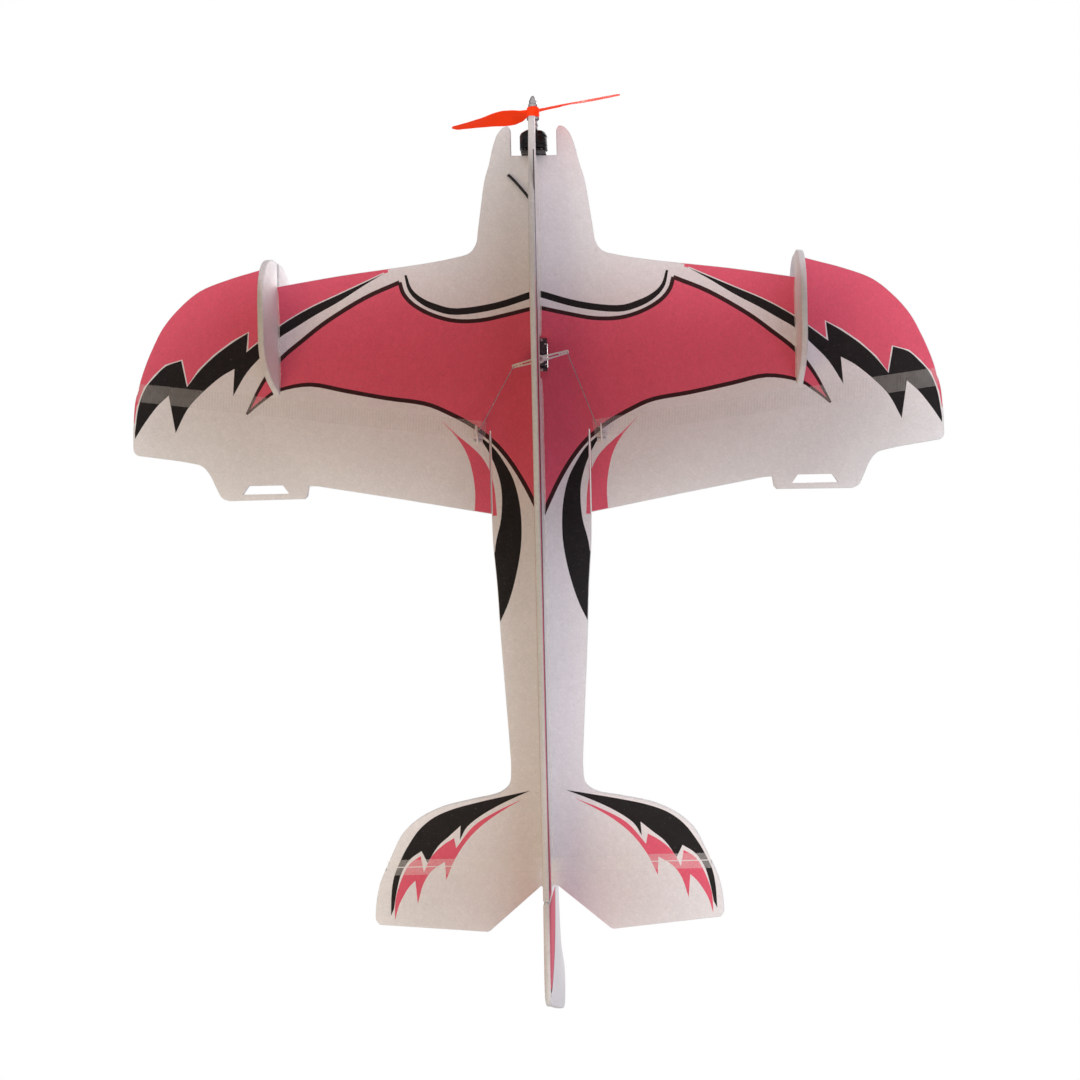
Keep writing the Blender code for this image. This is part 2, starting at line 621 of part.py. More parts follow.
def servo(name, shaft, out):
    """A micro servo. shaft is where its output axis meets the sheet's face, and out its way."""
    frame = servo_frame(shaft, out)

    def block(label, length, bottom, top, bevel):
        low = (-SERVO_WIDTH / 2, -SERVO_LEAD - length / 2, bottom)
        high = (SERVO_WIDTH / 2, -SERVO_LEAD + length / 2, top)
        bm = box_mesh(low, high, bevel)
        bmesh.ops.transform(bm, matrix=frame, verts=bm.verts)
        return finish(label, bm, SERVO_PLASTIC)

    case = block(name, SERVO_LENGTH, -14.0, 6.2, 0.6)
    boolean(case, block(f"{name}_lugs", SERVO_LUGS, 0.4, 2.6, 0.4), "UNION")
    # Columns: name, radius, aft from the shaft, top.
    rounds = (("boss", 5.7, 0.0, 9.6), ("step", 3.2, -5.6, 8.6), ("spline", 2.0, 0.0, 11.6))
    for label, radius, aft, top in rounds:
        base = frame @ Vector((0.0, aft, 0.0))
        boolean(case, cylinder(f"{name}_{label}", radius, 1.0, top, SERVO_PLASTIC,
                               centre=base, axis=out, steps=24), "UNION")


def arm(name, shaft, out, tips):
    """A hub round the spline and a tapering beam to each tip, at (across, aft) from the shaft."""
    frame = servo_frame(shaft, out)
    hub_top = HUB_LOW + HUB_HEIGHT
    hub_profile = [(2.3, HUB_LOW), (3.9, HUB_LOW), (3.9, hub_top), (2.3, hub_top)]
    hub = lathe(name, hub_profile, NYLON, centre=shaft, axis=out, pivot=shaft, steps=20)
    beam_low = HUB_LOW + 1.2
    for i, (across, aft) in enumerate(tips):
        reach = math.hypot(across, aft)
        # Columns: along the beam, across the beam.
        section = [
            (2.9, -2.9), (reach, -1.7), (reach + 1.6, -1.1), (reach + 2.2, 0.0),
            (reach + 1.6, 1.1), (reach, 1.7), (2.9, 2.9),
        ]
        bm = prism_mesh([(*point, beam_low) for point in section],
                        [(*point, beam_low + ARM_THICK) for point in section])
        spin = Matrix.Rotation(math.atan2(aft, across), 4, "Z")
        bmesh.ops.transform(bm, matrix=frame @ spin, verts=bm.verts)
        boolean(hub, finish(f"{name}_beam_{i}", bm, NYLON, shaft), "UNION")
        hole = frame @ Vector((across, aft, 0.0))
        boolean(hub, cylinder(f"cut_{name}_{i}", 0.95, HUB_LOW - 2.0, HUB_LOW + 6.0, NYLON,
                              centre=hole, axis=out, pivot=shaft, steps=12))


def arm_screw(name, shaft, out):
    head_low, head_top = HUB_LOW + 3.7, HUB_LOW + 4.7
    profile = [
        (0.0, 11.9), (0.9, 11.9), (0.9, head_low), (2.2, head_low), (2.2, head_top),
        (0.0, head_top),
    ]
    lathe(name, profile, STEEL, centre=shaft, axis=out, pivot=shaft, steps=18)


def servo_with_arm(control, shaft, out, tips):
    servo(f"{control}_servo", shaft, out)
    arm(f"{control}_servo_arm", shaft, out, tips)
    arm_screw(f"{control}_arm_screw", shaft, out)


def horn(name, foot, hole, middle, pivot, upright=True):
    """A flat horn whose foot stands on a surface.

    foot and hole are (aft, up) for an upright horn at x = middle, or (aft, x) at up = middle.
    """
    (foot_aft, foot_rise), (hole_aft, hole_rise) = foot, hole
    way = 1.0 if hole_rise > foot_rise else -1.0
    front, back = foot_aft - HORN_FOOT / 2, foot_aft + HORN_FOOT / 2
    shoulder = foot_rise + 1.4 * way
    waist = hole_rise - 0.6 * way
    top = hole_rise + 2.4 * way
    # Columns: aft, rise.
    section = [
        (front, foot_rise), (back, foot_rise), (back, shoulder), (hole_aft + 2.3, waist),
        (hole_aft + 1.6, top - 0.7 * way), (hole_aft, top), (hole_aft - 1.6, top - 0.7 * way),
        (hole_aft - 2.3, waist), (front, shoulder),
    ]

    def place(aft, rise, across):
        return (across, aft, rise) if upright else (rise, aft, across)

    faces = [[place(aft, rise, middle + offset) for aft, rise in section]
             for offset in (-HORN_THICK / 2, HORN_THICK / 2)]
    obj = finish(name, prism_mesh(*faces), NYLON, pivot)
    low, high = sorted((foot_rise, foot_rise + 0.9 * way))
    flange = box(f"{name}_flange", place(front, low, middle - HORN_FOOT / 2),
                 place(back, high, middle + HORN_FOOT / 2), pivot=pivot)
    boolean(obj, flange, "UNION")
    boolean(obj, cylinder(f"cut_{name}", 0.9, -4.0, 4.0, NYLON,
                          centre=place(hole_aft, hole_rise, middle),
                          axis=place(0.0, 0.0, 1.0), pivot=pivot, steps=12))


# ------------------------------------------------------------------ controls
def build_aileron_controls():
    """One servo through the wing, with its shaft to the belly, moves both ailerons."""
    reach_x = AILERON_ARM * math.cos(AILERON_ARM_TURN)
    reach_aft = AILERON_ARM * math.sin(AILERON_ARM_TURN)
    servo_with_arm("aileron", AILERON_SHAFT, DOWN, [(reach_x, -reach_aft), (-reach_x, reach_aft)])
    hole_aft = aileron_front(AILERON_HORN_X)
    for side, sign in SIDES:
        horn(f"aileron_horn_{side}", (hole_aft + 10.0, -HALF - HORN_FOOT_OFFSET),
             (hole_aft, AILERON_HORN_UP), sign * AILERON_HORN_X, aileron_pivot(sign))
        tip_x = AILERON_SHAFT[0] + sign * reach_x
        tip_aft = AILERON_SHAFT[1] - sign * reach_aft
        end_x = sign * (AILERON_HORN_X - 1.7)
        # A bend through the arm, the straight wire, and a bend that points at the horn's hole.
        path = [
            (tip_x, tip_aft, -HALF - 11.0),
            (tip_x, tip_aft, AILERON_ROD_UP),
            (end_x * 0.86 + tip_x * 0.14, hole_aft * 0.86 + tip_aft * 0.14, AILERON_HORN_UP - 0.5),
            (end_x - sign * 0.9, hole_aft, AILERON_HORN_UP),
            (end_x + sign * 0.5, hole_aft, AILERON_HORN_UP),
        ]
        tube(f"aileron_pushrod_{side}", path, 0.55, STEEL, pivot=path[1])


def tail_servo_and_rod(control, servo_at, way, rod_end, end_hook=0.0):
    """A servo in the upright sheet with its shaft to x = way, and the rod to the tail.

    end_hook is how far the rod's last point is turned towards -x.
    """
    aft, up = servo_at
    shaft = (way * HALF, aft, up)
    servo_with_arm(control, shaft, (float(way), 0.0, 0.0), [(way * TAIL_ARM, 0.0)])
    arm_x = way * (HALF + 12.0)
    rod_x = way * (HALF + 14.6)
    tip_up = up + TAIL_ARM
    end_aft, end_up = rod_end
    slope = (end_up - tip_up) / (end_aft - aft)
    path = [
        (arm_x, aft, tip_up),
        (rod_x, aft, tip_up),
        (rod_x, aft + 12.0, tip_up + 12.0 * slope),
        (rod_x, end_aft - 10.0, end_up - 10.0 * slope),
        (rod_x, end_aft, end_up),
    ]
    if end_hook:
        path.append((rod_x - end_hook, end_aft, end_up))
    tube(f"{control}_pushrod", path, 0.75, CARBON, pivot=path[1])


def build_tail_controls():
    tail_servo_and_rod("elevator", ELEVATOR_SERVO, 1, (ELEVATOR_HINGE, TAIL_ARM), end_hook=1.6)
    rudder_rod_up = RUDDER_SERVO[1] + TAIL_ARM
    tail_servo_and_rod("rudder", RUDDER_SERVO, -1, (RUDDER_HINGE, rudder_rod_up))
    foot_aft = 9.5  # from the hinge
    horn("elevator_horn", (ELEVATOR_HINGE + foot_aft, HALF + HORN_FOOT_OFFSET),
         (ELEVATOR_HINGE, TAIL_ARM), HALF + 11.4, ELEVATOR_PIVOT)
    horn("rudder_horn", (RUDDER_HINGE + foot_aft, -HALF - HORN_FOOT_OFFSET),
         (RUDDER_HINGE, -TAIL_ARM), rudder_rod_up - 2.4, RUDDER_PIVOT, upright=False)


# ------------------------------------------------------------------ power and radio
def build_electronics():
    """The boxes on top of the wing plate."""
    box("speed_controller", (-31.0, -330.0, DECK), (-9.0, -296.0, DECK + 7.0), SHRINK, bevel=1.4)
    box("receiver", (-34.0, -262.0, DECK), (-12.0, -226.0, DECK + 10.0), NYLON, bevel=1.2)
    box("battery_pad", (8.0, -268.0, DECK), (34.0, -222.0, DECK + 1.6), HOOK_PAD, bevel=0.3)
    box("battery", (6.0, -275.0, DECK + 2.0), (36.0, -217.0, DECK + 18.0), BATTERY_WRAP,
        bevel=2.0)


def build_leads():
    motor = eased((-17.5, -351.0, 7.4), (-19.5, -343.0, 7.4), (-20.0, -331.0, 7.4))
    tube("motor_leads", motor, 0.8, WIRE, flat=3.2)
    battery = eased((12.0, -275.6, 15.0), (12.0, -290.0, 9.0), (9.0, -302.0, 6.6),
                    (9.0, -316.0, 6.4))
    tube("battery_lead", battery, 1.0, WIRE, flat=2.0)
    nose = eased((-25.5, -334.0, -4.6), (-20.0, -328.5, -5.2), (-12.0, -319.0, -6.5),
                 (-5.2, -309.5, -9.5))
    tube("nose_lead", nose, 0.9, WIRE)
    aerial = eased((-34.6, -244.0, 9.0), (-48.0, -244.0, 8.0), (-90.0, -226.0, 4.6),
                   (-150.0, -214.0, 4.2))
    tube("receiver_aerial", aerial, 0.5, WIRE, sides=6)


build_wing()
build_fuselage()
build_side_plates()
build_ailerons()
build_elevator()
build_rudder()
build_hinge_tape()
build_motor()
build_propeller()
build_aileron_controls()
build_tail_controls()
build_electronics()
build_leads()
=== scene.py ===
import math
import random

import bmesh
import bpy
from mathutils import Matrix, Vector
from mathutils.geometry import delaunay_2d_cdt


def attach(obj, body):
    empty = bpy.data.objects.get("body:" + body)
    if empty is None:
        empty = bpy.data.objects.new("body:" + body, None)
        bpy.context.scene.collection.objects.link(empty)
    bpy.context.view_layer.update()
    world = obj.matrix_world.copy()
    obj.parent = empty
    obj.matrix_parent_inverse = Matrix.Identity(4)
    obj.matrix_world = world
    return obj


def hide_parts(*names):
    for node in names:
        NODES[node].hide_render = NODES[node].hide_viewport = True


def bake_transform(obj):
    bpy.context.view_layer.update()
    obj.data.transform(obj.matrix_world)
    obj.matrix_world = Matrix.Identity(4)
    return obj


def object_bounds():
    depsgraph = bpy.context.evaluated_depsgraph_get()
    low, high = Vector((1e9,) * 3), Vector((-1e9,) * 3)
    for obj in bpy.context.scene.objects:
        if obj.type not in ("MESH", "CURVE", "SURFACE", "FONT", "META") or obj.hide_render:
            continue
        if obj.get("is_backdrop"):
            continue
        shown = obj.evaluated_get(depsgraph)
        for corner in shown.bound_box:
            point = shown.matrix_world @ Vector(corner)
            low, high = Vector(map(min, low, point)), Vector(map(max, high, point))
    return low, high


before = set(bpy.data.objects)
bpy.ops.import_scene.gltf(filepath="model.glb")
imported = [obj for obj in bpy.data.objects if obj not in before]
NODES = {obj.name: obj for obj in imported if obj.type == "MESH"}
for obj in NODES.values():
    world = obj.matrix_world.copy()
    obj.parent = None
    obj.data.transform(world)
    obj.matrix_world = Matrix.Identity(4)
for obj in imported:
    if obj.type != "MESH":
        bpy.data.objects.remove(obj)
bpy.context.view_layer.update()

# ------------------------------------------------------------------ shared measures, millimetres
MM = 0.001
P_TO_Y, GROUND = 150.0, 60.0
FOAM, HALF = 6.0, 3.0
HINGE_ROOT, HINGE_SLOPE = (49.5, -82.5), -0.1303
SIDE_X = 258.0
ELEVATOR_P, RUDDER_P = 346.0, 372.0
PROP_P, PROP_RADIUS, PROP_PITCH, PROP_TURN = -397.0, 101.6, 96.5, 32.0
AIL_PIVOT, AIL_ARM, AIL_ARM_TURN = (3.0, -151.0), 27.0, 14.0
AIL_ROD_H, HORN_X, HORN_H, TAIL_ARM = -16.6, 61.0, -16.0, 12.0
ELE_SERVO, RUD_SERVO = (30.0, 22.0), (-22.0, 24.0)
random.seed(7)


def at(x, p, h):
    return Vector((x, p + P_TO_Y, h + GROUND)) * MM


def hinge_p(x):
    return HINGE_ROOT[1] + HINGE_SLOPE * (abs(x) - HINGE_ROOT[0])


# ------------------------------------------------------------------ node helpers for materials
class Tree:
    """A short way to write a material's node tree."""

    def __init__(self, name):
        self.mat = bpy.data.materials.new(name)
        self.mat.use_nodes = True
        self.nt = self.mat.node_tree
        self.p = self.nt.nodes["Principled BSDF"]
        self.out = self.nt.nodes["Material Output"]
        self.place = self.add("ShaderNodeTexCoord").outputs["Object"]

    def add(self, kind, **values):
        node = self.nt.nodes.new(kind)
        for key, value in values.items():
            setattr(node, key, value)
        return node

    def link(self, a, b):
        self.nt.links.new(a, b)

    def set(self, socket, value):
        if hasattr(value, "is_output") or isinstance(value, bpy.types.NodeSocket):
            self.link(value, socket)
        else:
            socket.default_value = value

    def noise(self, scale, detail=3.0, rough=0.55, vector=None):
        n = self.add("ShaderNodeTexNoise")
        self.link(vector or self.place, n.inputs["Vector"])
        n.inputs["Scale"].default_value = scale
        n.inputs["Detail"].default_value = detail
        n.inputs["Roughness"].default_value = rough
        return n.outputs["Fac"]

    def voronoi(self, scale, feature="F1", vector=None, smooth=None):
        n = self.add("ShaderNodeTexVoronoi")
        n.feature = feature
        self.link(vector or self.place, n.inputs["Vector"])
        n.inputs["Scale"].default_value = scale
        if smooth is not None:
            n.inputs["Smoothness"].default_value = smooth
        return n

    def ramp(self, fac, stops):
        n = self.add("ShaderNodeValToRGB")
        while len(n.color_ramp.elements) < len(stops):
            n.color_ramp.elements.new(0.5)
        for e, (pos, colour) in zip(n.color_ramp.elements, stops):
            e.position = pos
            e.color = (*colour, 1.0) if len(colour) == 3 else colour
        self.link(fac, n.inputs["Fac"])
        return n.outputs["Color"]

    def rescale(self, fac, a, b, c, d):
        n = self.add("ShaderNodeMapRange")
        self.link(fac, n.inputs["Value"])
        for key, value in (("From Min", a), ("From Max", b), ("To Min", c), ("To Max", d)):
            n.inputs[key].default_value = value
        return n.outputs["Result"]

    def math(self, op, a, b=0.0):
        n = self.add("ShaderNodeMath", operation=op)
        self.set(n.inputs[0], a)
        self.set(n.inputs[1], b)
        return n.outputs[0]

    def mix(self, fac, a, b, blend="MIX"):
        n = self.add("ShaderNodeMix", data_type="RGBA", blend_type=blend)
        self.set(n.inputs["Factor"], fac)
        for socket, value in ((n.inputs[6], a), (n.inputs[7], b)):
            self.set(socket, (*value, 1.0) if isinstance(value, tuple) and len(value) == 3 else value)
        return n.outputs[2]

    def bump(self, height, distance, strength=1.0, onto=None):
        n = self.add("ShaderNodeBump")
        self.link(height, n.inputs["Height"])
        n.inputs["Distance"].default_value = distance
        n.inputs["Strength"].default_value = strength
        if onto is not None:
            self.link(onto, n.inputs["Normal"])
        return n.outputs["Normal"]

    def done(self, colour=None, rough=None, metal=0.0, normal=None, **others):
        for key, value in (("Base Color", colour), ("Roughness", rough), ("Metallic", metal), ("Normal", normal)):
            if value is not None:
                self.set(self.p.inputs[key], (*value, 1.0) if isinstance(value, tuple) and len(value) == 3 else value)
        for key, value in others.items():
            self.set(self.p.inputs[key.replace("_", " ")], value)
        return self.mat


def foam(name, base, ink=0.0, cut=False):
    """Moulded bead foam: soft beads 3 to 4 mm across, pressed together, with a thin skin. ink is how much print lies on the skin."""
    t = Tree(name)
    warp = t.noise(60.0, 2.0)
    beads = t.voronoi(255.0, "SMOOTH_F1", smooth=0.35)
    seams = t.voronoi(255.0, "DISTANCE_TO_EDGE")
    tone = t.rescale(t.voronoi(255.0).outputs["Color"], 0.0, 1.0, 0.965, 1.03)
    broad = t.rescale(t.noise(7.0, 3.0), 0.3, 0.7, 0.965, 1.03)
    grain = t.rescale(t.noise(900.0, 2.0), 0.2, 0.8, 0.98, 1.02)
    shade = t.math("MULTIPLY", t.math("MULTIPLY", tone, broad), grain)
    seam = t.rescale(seams.outputs["Distance"], 0.0, 0.055, 0.90 if not ink else 0.86, 1.0)
    grey = t.add("ShaderNodeCombineColor")
    for k in range(3):
        t.link(t.math("MULTIPLY", shade, seam), grey.inputs[k])
    colour = t.mix(1.0, base, grey.outputs[0], "MULTIPLY")
    if ink:
        # Print misses the pits where beads meet, so a few pale specks show there.
        pit = t.math("MULTIPLY", t.rescale(seams.outputs["Distance"], 0.0, 0.03, 1.0, 0.0), t.rescale(t.noise(420.0, 1.0), 0.60, 0.66, 0.0, ink))
        colour = t.mix(pit, colour, (0.78, 0.74, 0.75))
        band = t.rescale(t.noise(26.0, 4.0), 0.35, 0.75, 0.0, 0.10)
        colour = t.mix(band, colour, tuple(min(1.0, c * 1.25 + 0.02) for c in base))
    rough = t.rescale(t.noise(140.0, 3.0), 0.3, 0.7, 0.52 if not cut else 0.7, 0.66 if not cut else 0.85)
    height = t.math("ADD", t.math("MULTIPLY", beads.outputs["Distance"], -1.0), t.rescale(seams.outputs["Distance"], 0.0, 0.06, -0.35, 0.0))
    normal = t.bump(height, 0.00022 if not cut else 0.0005, 0.55)
    normal = t.bump(warp, 0.0006, 0.25, normal)
    return t.done(colour, rough, normal=normal, Specular_IOR_Level=0.22 if ink else 0.35, Sheen_Weight=0.0 if ink else 0.06, Sheen_Roughness=0.6)


WHITE = foam("foam_white", (0.83, 0.81, 0.83))
CUT = foam("foam_cut_edge", (0.80, 0.79, 0.80), cut=True)
RED = foam("foam_red_print", (0.80, 0.117, 0.190), ink=0.22)
BLACK = foam("foam_black_print", (0.011, 0.009, 0.010), ink=0.10)
DARK_RED = foam("foam_dark_print", (0.040, 0.010, 0.012), ink=0.10)
GREY = foam("foam_grey_print", (0.10, 0.11, 0.13), ink=0.3)
SKINS = [WHITE, CUT, RED, BLACK, DARK_RED, GREY]
W, C, R, K, D, G = range(6)


def metal(name, base, rough, scratch=0.15, turned=False):
    t = Tree(name)
    fine = t.noise(900.0, 4.0)
    if turned:
        stretch = t.add("ShaderNodeMapping")
        t.link(t.place, stretch.inputs["Vector"])
        stretch.inputs["Scale"].default_value = (40.0, 3500.0, 40.0)
        fine = t.noise(1.0, 2.0, vector=stretch.outputs["Vector"])
    worn = t.noise(70.0, 5.0)
    colour = t.mix(t.rescale(worn, 0.45, 0.75, 0.0, scratch), base, tuple(min(1.0, c * 1.6 + 0.05) for c in base))
    return t.done(colour, t.rescale(fine, 0.3, 0.7, rough * 0.8, rough * 1.25), 1.0, t.bump(fine, 0.00005, 0.3))


def plastic(name, base, rough, flow=0.08, clear=0.0, coat=0.0):
    t = Tree(name)
    cloud = t.noise(45.0, 4.0)
    skin = t.noise(1500.0, 2.0)
    colour = t.mix(t.rescale(cloud, 0.3, 0.75, 0.0, 1.0), base, tuple(min(1.0, c * (1.0 + flow * 2) + flow * 0.05) for c in base))
    others = {"Coat_Weight": coat, "Coat_Roughness": 0.15}
    if clear:
        others["Subsurface_Weight"] = clear
        others["Subsurface_Scale"] = 0.002
    return t.done(colour, t.rescale(cloud, 0.3, 0.7, rough * 0.85, rough * 1.2), 0.0, t.bump(skin, 0.00004, 0.35), **others)


def carbon(name):
    """Pultruded carbon: fibres run along the piece, with a thin gloss resin."""
    t = Tree(name)
    stretch = t.add("ShaderNodeMapping")
    t.link(t.place, stretch.inputs["Vector"])
    stretch.inputs["Scale"].default_value = (2600.0, 35.0, 2600.0)
    fibre = t.noise(1.0, 3.0, vector=stretch.outputs["Vector"])
    colour = t.ramp(fibre, [(0.3, (0.012, 0.012, 0.014)), (0.62, (0.045, 0.045, 0.05)), (0.8, (0.10, 0.10, 0.11))])
    return t.done(colour, t.rescale(fibre, 0.3, 0.7, 0.28, 0.5), 0.0, t.bump(fibre, 0.00008, 0.4), Coat_Weight=0.35, Coat_Roughness=0.2)


STEEL = metal("bright_steel_wire", (0.60, 0.60, 0.62), 0.24)
DARK_STEEL = metal("dark_steel_wire", (0.22, 0.20, 0.20), 0.35)
ALU = metal("turned_aluminium", (0.50, 0.49, 0.50), 0.38, turned=True)
ANODISED = metal("black_anodised_can", (0.020, 0.020, 0.022), 0.33, scratch=0.35, turned=True)
COPPER = metal("enamelled_copper", (0.62, 0.24, 0.09), 0.35)
BRASS = metal("brass_barrel", (0.72, 0.52, 0.22), 0.3)
CARBON = carbon("carbon_strip")
NYLON = plastic("white_nylon", (0.80, 0.79, 0.76), 0.38, clear=0.25)
CLEAR_NYLON = plastic("milky_nylon", (0.74, 0.70, 0.70), 0.30, clear=0.45, coat=0.3)
ORANGE = plastic("orange_prop_nylon", (1.0, 0.045, 0.004), 0.5, flow=0.02, clear=0.0, coat=0.0)
# The small orange emission is a painted glow that stands in for light shining through the thin blades.
for node in ORANGE.node_tree.nodes:
    if node.type == "BSDF_PRINCIPLED":
        node.inputs["Specular IOR Level"].default_value = 0.15
        node.inputs["Emission Color"].default_value = (1.0, 0.05, 0.0, 1.0)
        node.inputs["Emission Strength"].default_value = 0.28
SERVO = plastic("smoked_servo_case", (0.018, 0.020, 0.030), 0.22, flow=0.3, coat=0.5)
SHRINK = plastic("black_heat_shrink", (0.018, 0.018, 0.020), 0.42, flow=0.2)
CASE = plastic("grey_receiver_case", (0.10, 0.105, 0.115), 0.45)
PIN_BLOCK = plastic("black_pin_block", (0.012, 0.012, 0.012), 0.5)
WRAP = plastic("blue_battery_wrap", (0.035, 0.09, 0.32), 0.28, coat=0.4)
FOIL = metal("battery_foil", (0.55, 0.56, 0.58), 0.4)
WIRE_BLACK = plastic("black_silicone", (0.014, 0.014, 0.014), 0.55)
WIRE_RED = plastic("red_silicone", (0.50, 0.015, 0.012), 0.5)
WIRE_BROWN = plastic("brown_insulation", (0.085, 0.028, 0.012), 0.5)
WIRE_YELLOW = plastic("yellow_insulation", (0.78, 0.42, 0.04), 0.5)


def plywood():
    t = Tree("ply_plate")
    wave = t.add("ShaderNodeTexWave", wave_type="RINGS", bands_direction="Y")
    t.link(t.place, wave.inputs["Vector"])
    wave.inputs["Scale"].default_value = 90.0
    wave.inputs["Distortion"].default_value = 7.0
    wave.inputs["Detail"].default_value = 3.0
    colour = t.ramp(wave.outputs["Fac"], [(0.0, (0.40, 0.24, 0.11)), (0.6, (0.60, 0.42, 0.22)), (1.0, (0.70, 0.53, 0.31))])
    return t.done(colour, t.rescale(wave.outputs["Fac"], 0.0, 1.0, 0.55, 0.7), 0.0, t.bump(wave.outputs["Fac"], 0.0001, 0.3))


PLY = plywood()
GLASS_PLATE = plastic("black_glass_plate", (0.025, 0.025, 0.027), 0.4, flow=0.3)


def hook_pad():
    t = Tree("hook_and_loop")
    loops = t.voronoi(1400.0)
    colour = t.ramp(loops.outputs["Distance"], [(0.0, (0.035, 0.035, 0.038)), (0.8, (0.008, 0.008, 0.008))])
    return t.done(colour, 0.95, 0.0, t.bump(loops.outputs["Distance"], 0.0005, 0.8), Sheen_Weight=0.4)


HOOK = hook_pad()


def film(name, tint, cover, rough=0.22, ribbed=False):
    """Thin clear film: what lies under it shows, with a milky veil. A ribbed one has fine fibres across it, 1.5 mm apart."""
    t = Tree(name)
    haze = t.rescale(t.noise(220.0, 3.0), 0.3, 0.7, cover * 0.8, cover * 1.2)
    if ribbed:
        fibres = t.add("ShaderNodeTexWave")
        fibres.inputs["Scale"].default_value = 209.0
        fibres.inputs["Distortion"].default_value = 0.5
        t.link(t.place, fibres.inputs["Vector"])
        haze = t.math("MULTIPLY", haze, t.rescale(fibres.outputs["Fac"], 0.1, 0.9, 0.55, 1.7))
    t.done(tint, t.rescale(t.noise(400.0, 2.0), 0.3, 0.7, rough, rough * 1.6), 0.0)
    path = t.add("ShaderNodeLightPath")
    t.set(t.p.inputs["Alpha"], t.math("MULTIPLY", haze, t.math("SUBTRACT", 1.0, t.math("MAXIMUM", path.outputs["Is Shadow Ray"], t.math("MAXIMUM", path.outputs["Is Diffuse Ray"], path.outputs["Is Glossy Ray"])))))
    return t.mat


TAPE_FILM = film("tape_film", (0.84, 0.82, 0.80), 0.085, 0.45, ribbed=True)
CLEAR_TAPE = film("clear_hinge_film", (0.9, 0.88, 0.87), 0.13, 0.3)
GLUE = film("clear_glue", (0.80, 0.76, 0.70), 0.55, 0.12)


# ------------------------------------------------------------------ mesh helpers
def finish(name, bm, mats, body, replaced=(), smooth=True, angle=40.0, raw=False, closed=True):
    """Turns a bmesh in (x, p, h) millimetres into a piece that rides on a body."""
    if not raw:
        for v in bm.verts:
            v.co = at(*v.co)
    if closed:
        bmesh.ops.recalc_face_normals(bm, faces=bm.faces)
    mesh = bpy.data.meshes.new(name)
    bm.to_mesh(mesh)
    bm.free()
    for m in mats if isinstance(mats, (list, tuple)) else [mats]:
        mesh.materials.append(m)
    if smooth:
        mesh.shade_smooth()
        mesh.set_sharp_from_angle(angle=math.radians(angle))
    obj = bpy.data.objects.new(name, mesh)
    bpy.context.scene.collection.objects.link(obj)
    if isinstance(body, str):
        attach(obj, body)
    if replaced:
        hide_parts(*replaced)
    return obj


def box_into(bm, low, high, bevel=0.0, segments=2, mat=0, put=None):
    made = bmesh.ops.create_cube(bm, size=1.0)["verts"]
    for v in made:
        for k in range(3):
            v.co[k] = (low[k] + high[k]) / 2 + v.co[k] * (high[k] - low[k])
    faces = {f for v in made for f in v.link_faces}
    edges = {e for v in made for e in v.link_edges}
    for f in faces:
        f.material_index = mat
    if bevel:
        made_by = bmesh.ops.bevel(bm, geom=list(edges), offset=bevel, segments=segments, profile=0.5, affect="EDGES", material=-1)
        faces = {f for f in faces if f.is_valid} | set(made_by["faces"])
        for f in faces:
            f.material_index = mat
    verts = {v for f in faces for v in f.verts}
    if put is not None:
        for v in verts:
            v.co = put @ v.co
    return verts


def lathe_into(bm, profile, centre, axis, steps=48, mat=0):
    """A closed ring of (radius, along) points, turned about an axis. Its own vertices only."""
    turn = Vector((0, 0, 1)).rotation_difference(Vector(axis).normalized()).to_matrix()
    rings = []
    for r, a in profile:
        if r < 1e-6:
            rings.append([bm.verts.new(Vector(centre) + turn @ Vector((0, 0, a)))])
        else:
            rings.append([bm.verts.new(Vector(centre) + turn @ Vector((r * math.cos(math.tau * k / steps), r * math.sin(math.tau * k / steps), a))) for k in range(steps)])
    made = []
    for low, high in zip(rings, rings[1:] + rings[:1]):
        for k in range(steps):
            n = (k + 1) % steps
            quad = []
            for v in (low[k % len(low)], low[n % len(low)], high[n % len(high)], high[k % len(high)]):
                if v not in quad:
                    quad.append(v)
            if len(quad) > 2:
                f = bm.faces.new(quad)
                f.material_index = mat
                made.append(f)
    return made


def tube_into(bm, path, radius, sides=12, mat=0, flat=1.0, radii=None, cap=True):
    rings, side = [], None
    for i, point in enumerate(path):
        here = Vector(point)
        back, ahead = Vector(path[max(i - 1, 0)]), Vector(path[min(i + 1, len(path) - 1)])
        along = (ahead - back).normalized()
        if side is None:
            side = along.cross(Vector((0, 0, 1)) if abs(along.z) < 0.9 else Vector((1, 0, 0)))
        side = (side - along * side.dot(along)).normalized()
        up = side.cross(along).normalized()
        rr = radii[i] if radii else radius
        rings.append([bm.verts.new(here + side * math.cos(math.tau * k / sides) * rr * flat + up * math.sin(math.tau * k / sides) * rr) for k in range(sides)])
    for low, high in zip(rings, rings[1:]):
        for k in range(sides):
            n = (k + 1) % sides
            f = bm.faces.new((low[k], low[n], high[n], high[k]))
            f.material_index = mat
    if cap:
        for ring in (rings[0][::-1], rings[-1]):
            f = bm.faces.new(ring)
            f.material_index = mat
    return rings


def eased(*points, steps=6):
    """A path through the points, softened at each bend."""
    knots = [Vector(q) for q in points]
    ghost = [knots[0] * 2 - knots[1], *knots, knots[-1] * 2 - knots[-2]]
    out = []
    for k in range(1, len(ghost) - 2):
        a, b, c, d = ghost[k - 1 : k + 3]
        for s in range(steps):
            t = s / steps
            out.append(0.5 * (2 * b + (c - a) * t + (2 * a - 5 * b + 4 * c - d) * t * t + (3 * b - a - 3 * c + d) * t**3))
    return [*out, knots[-1]]


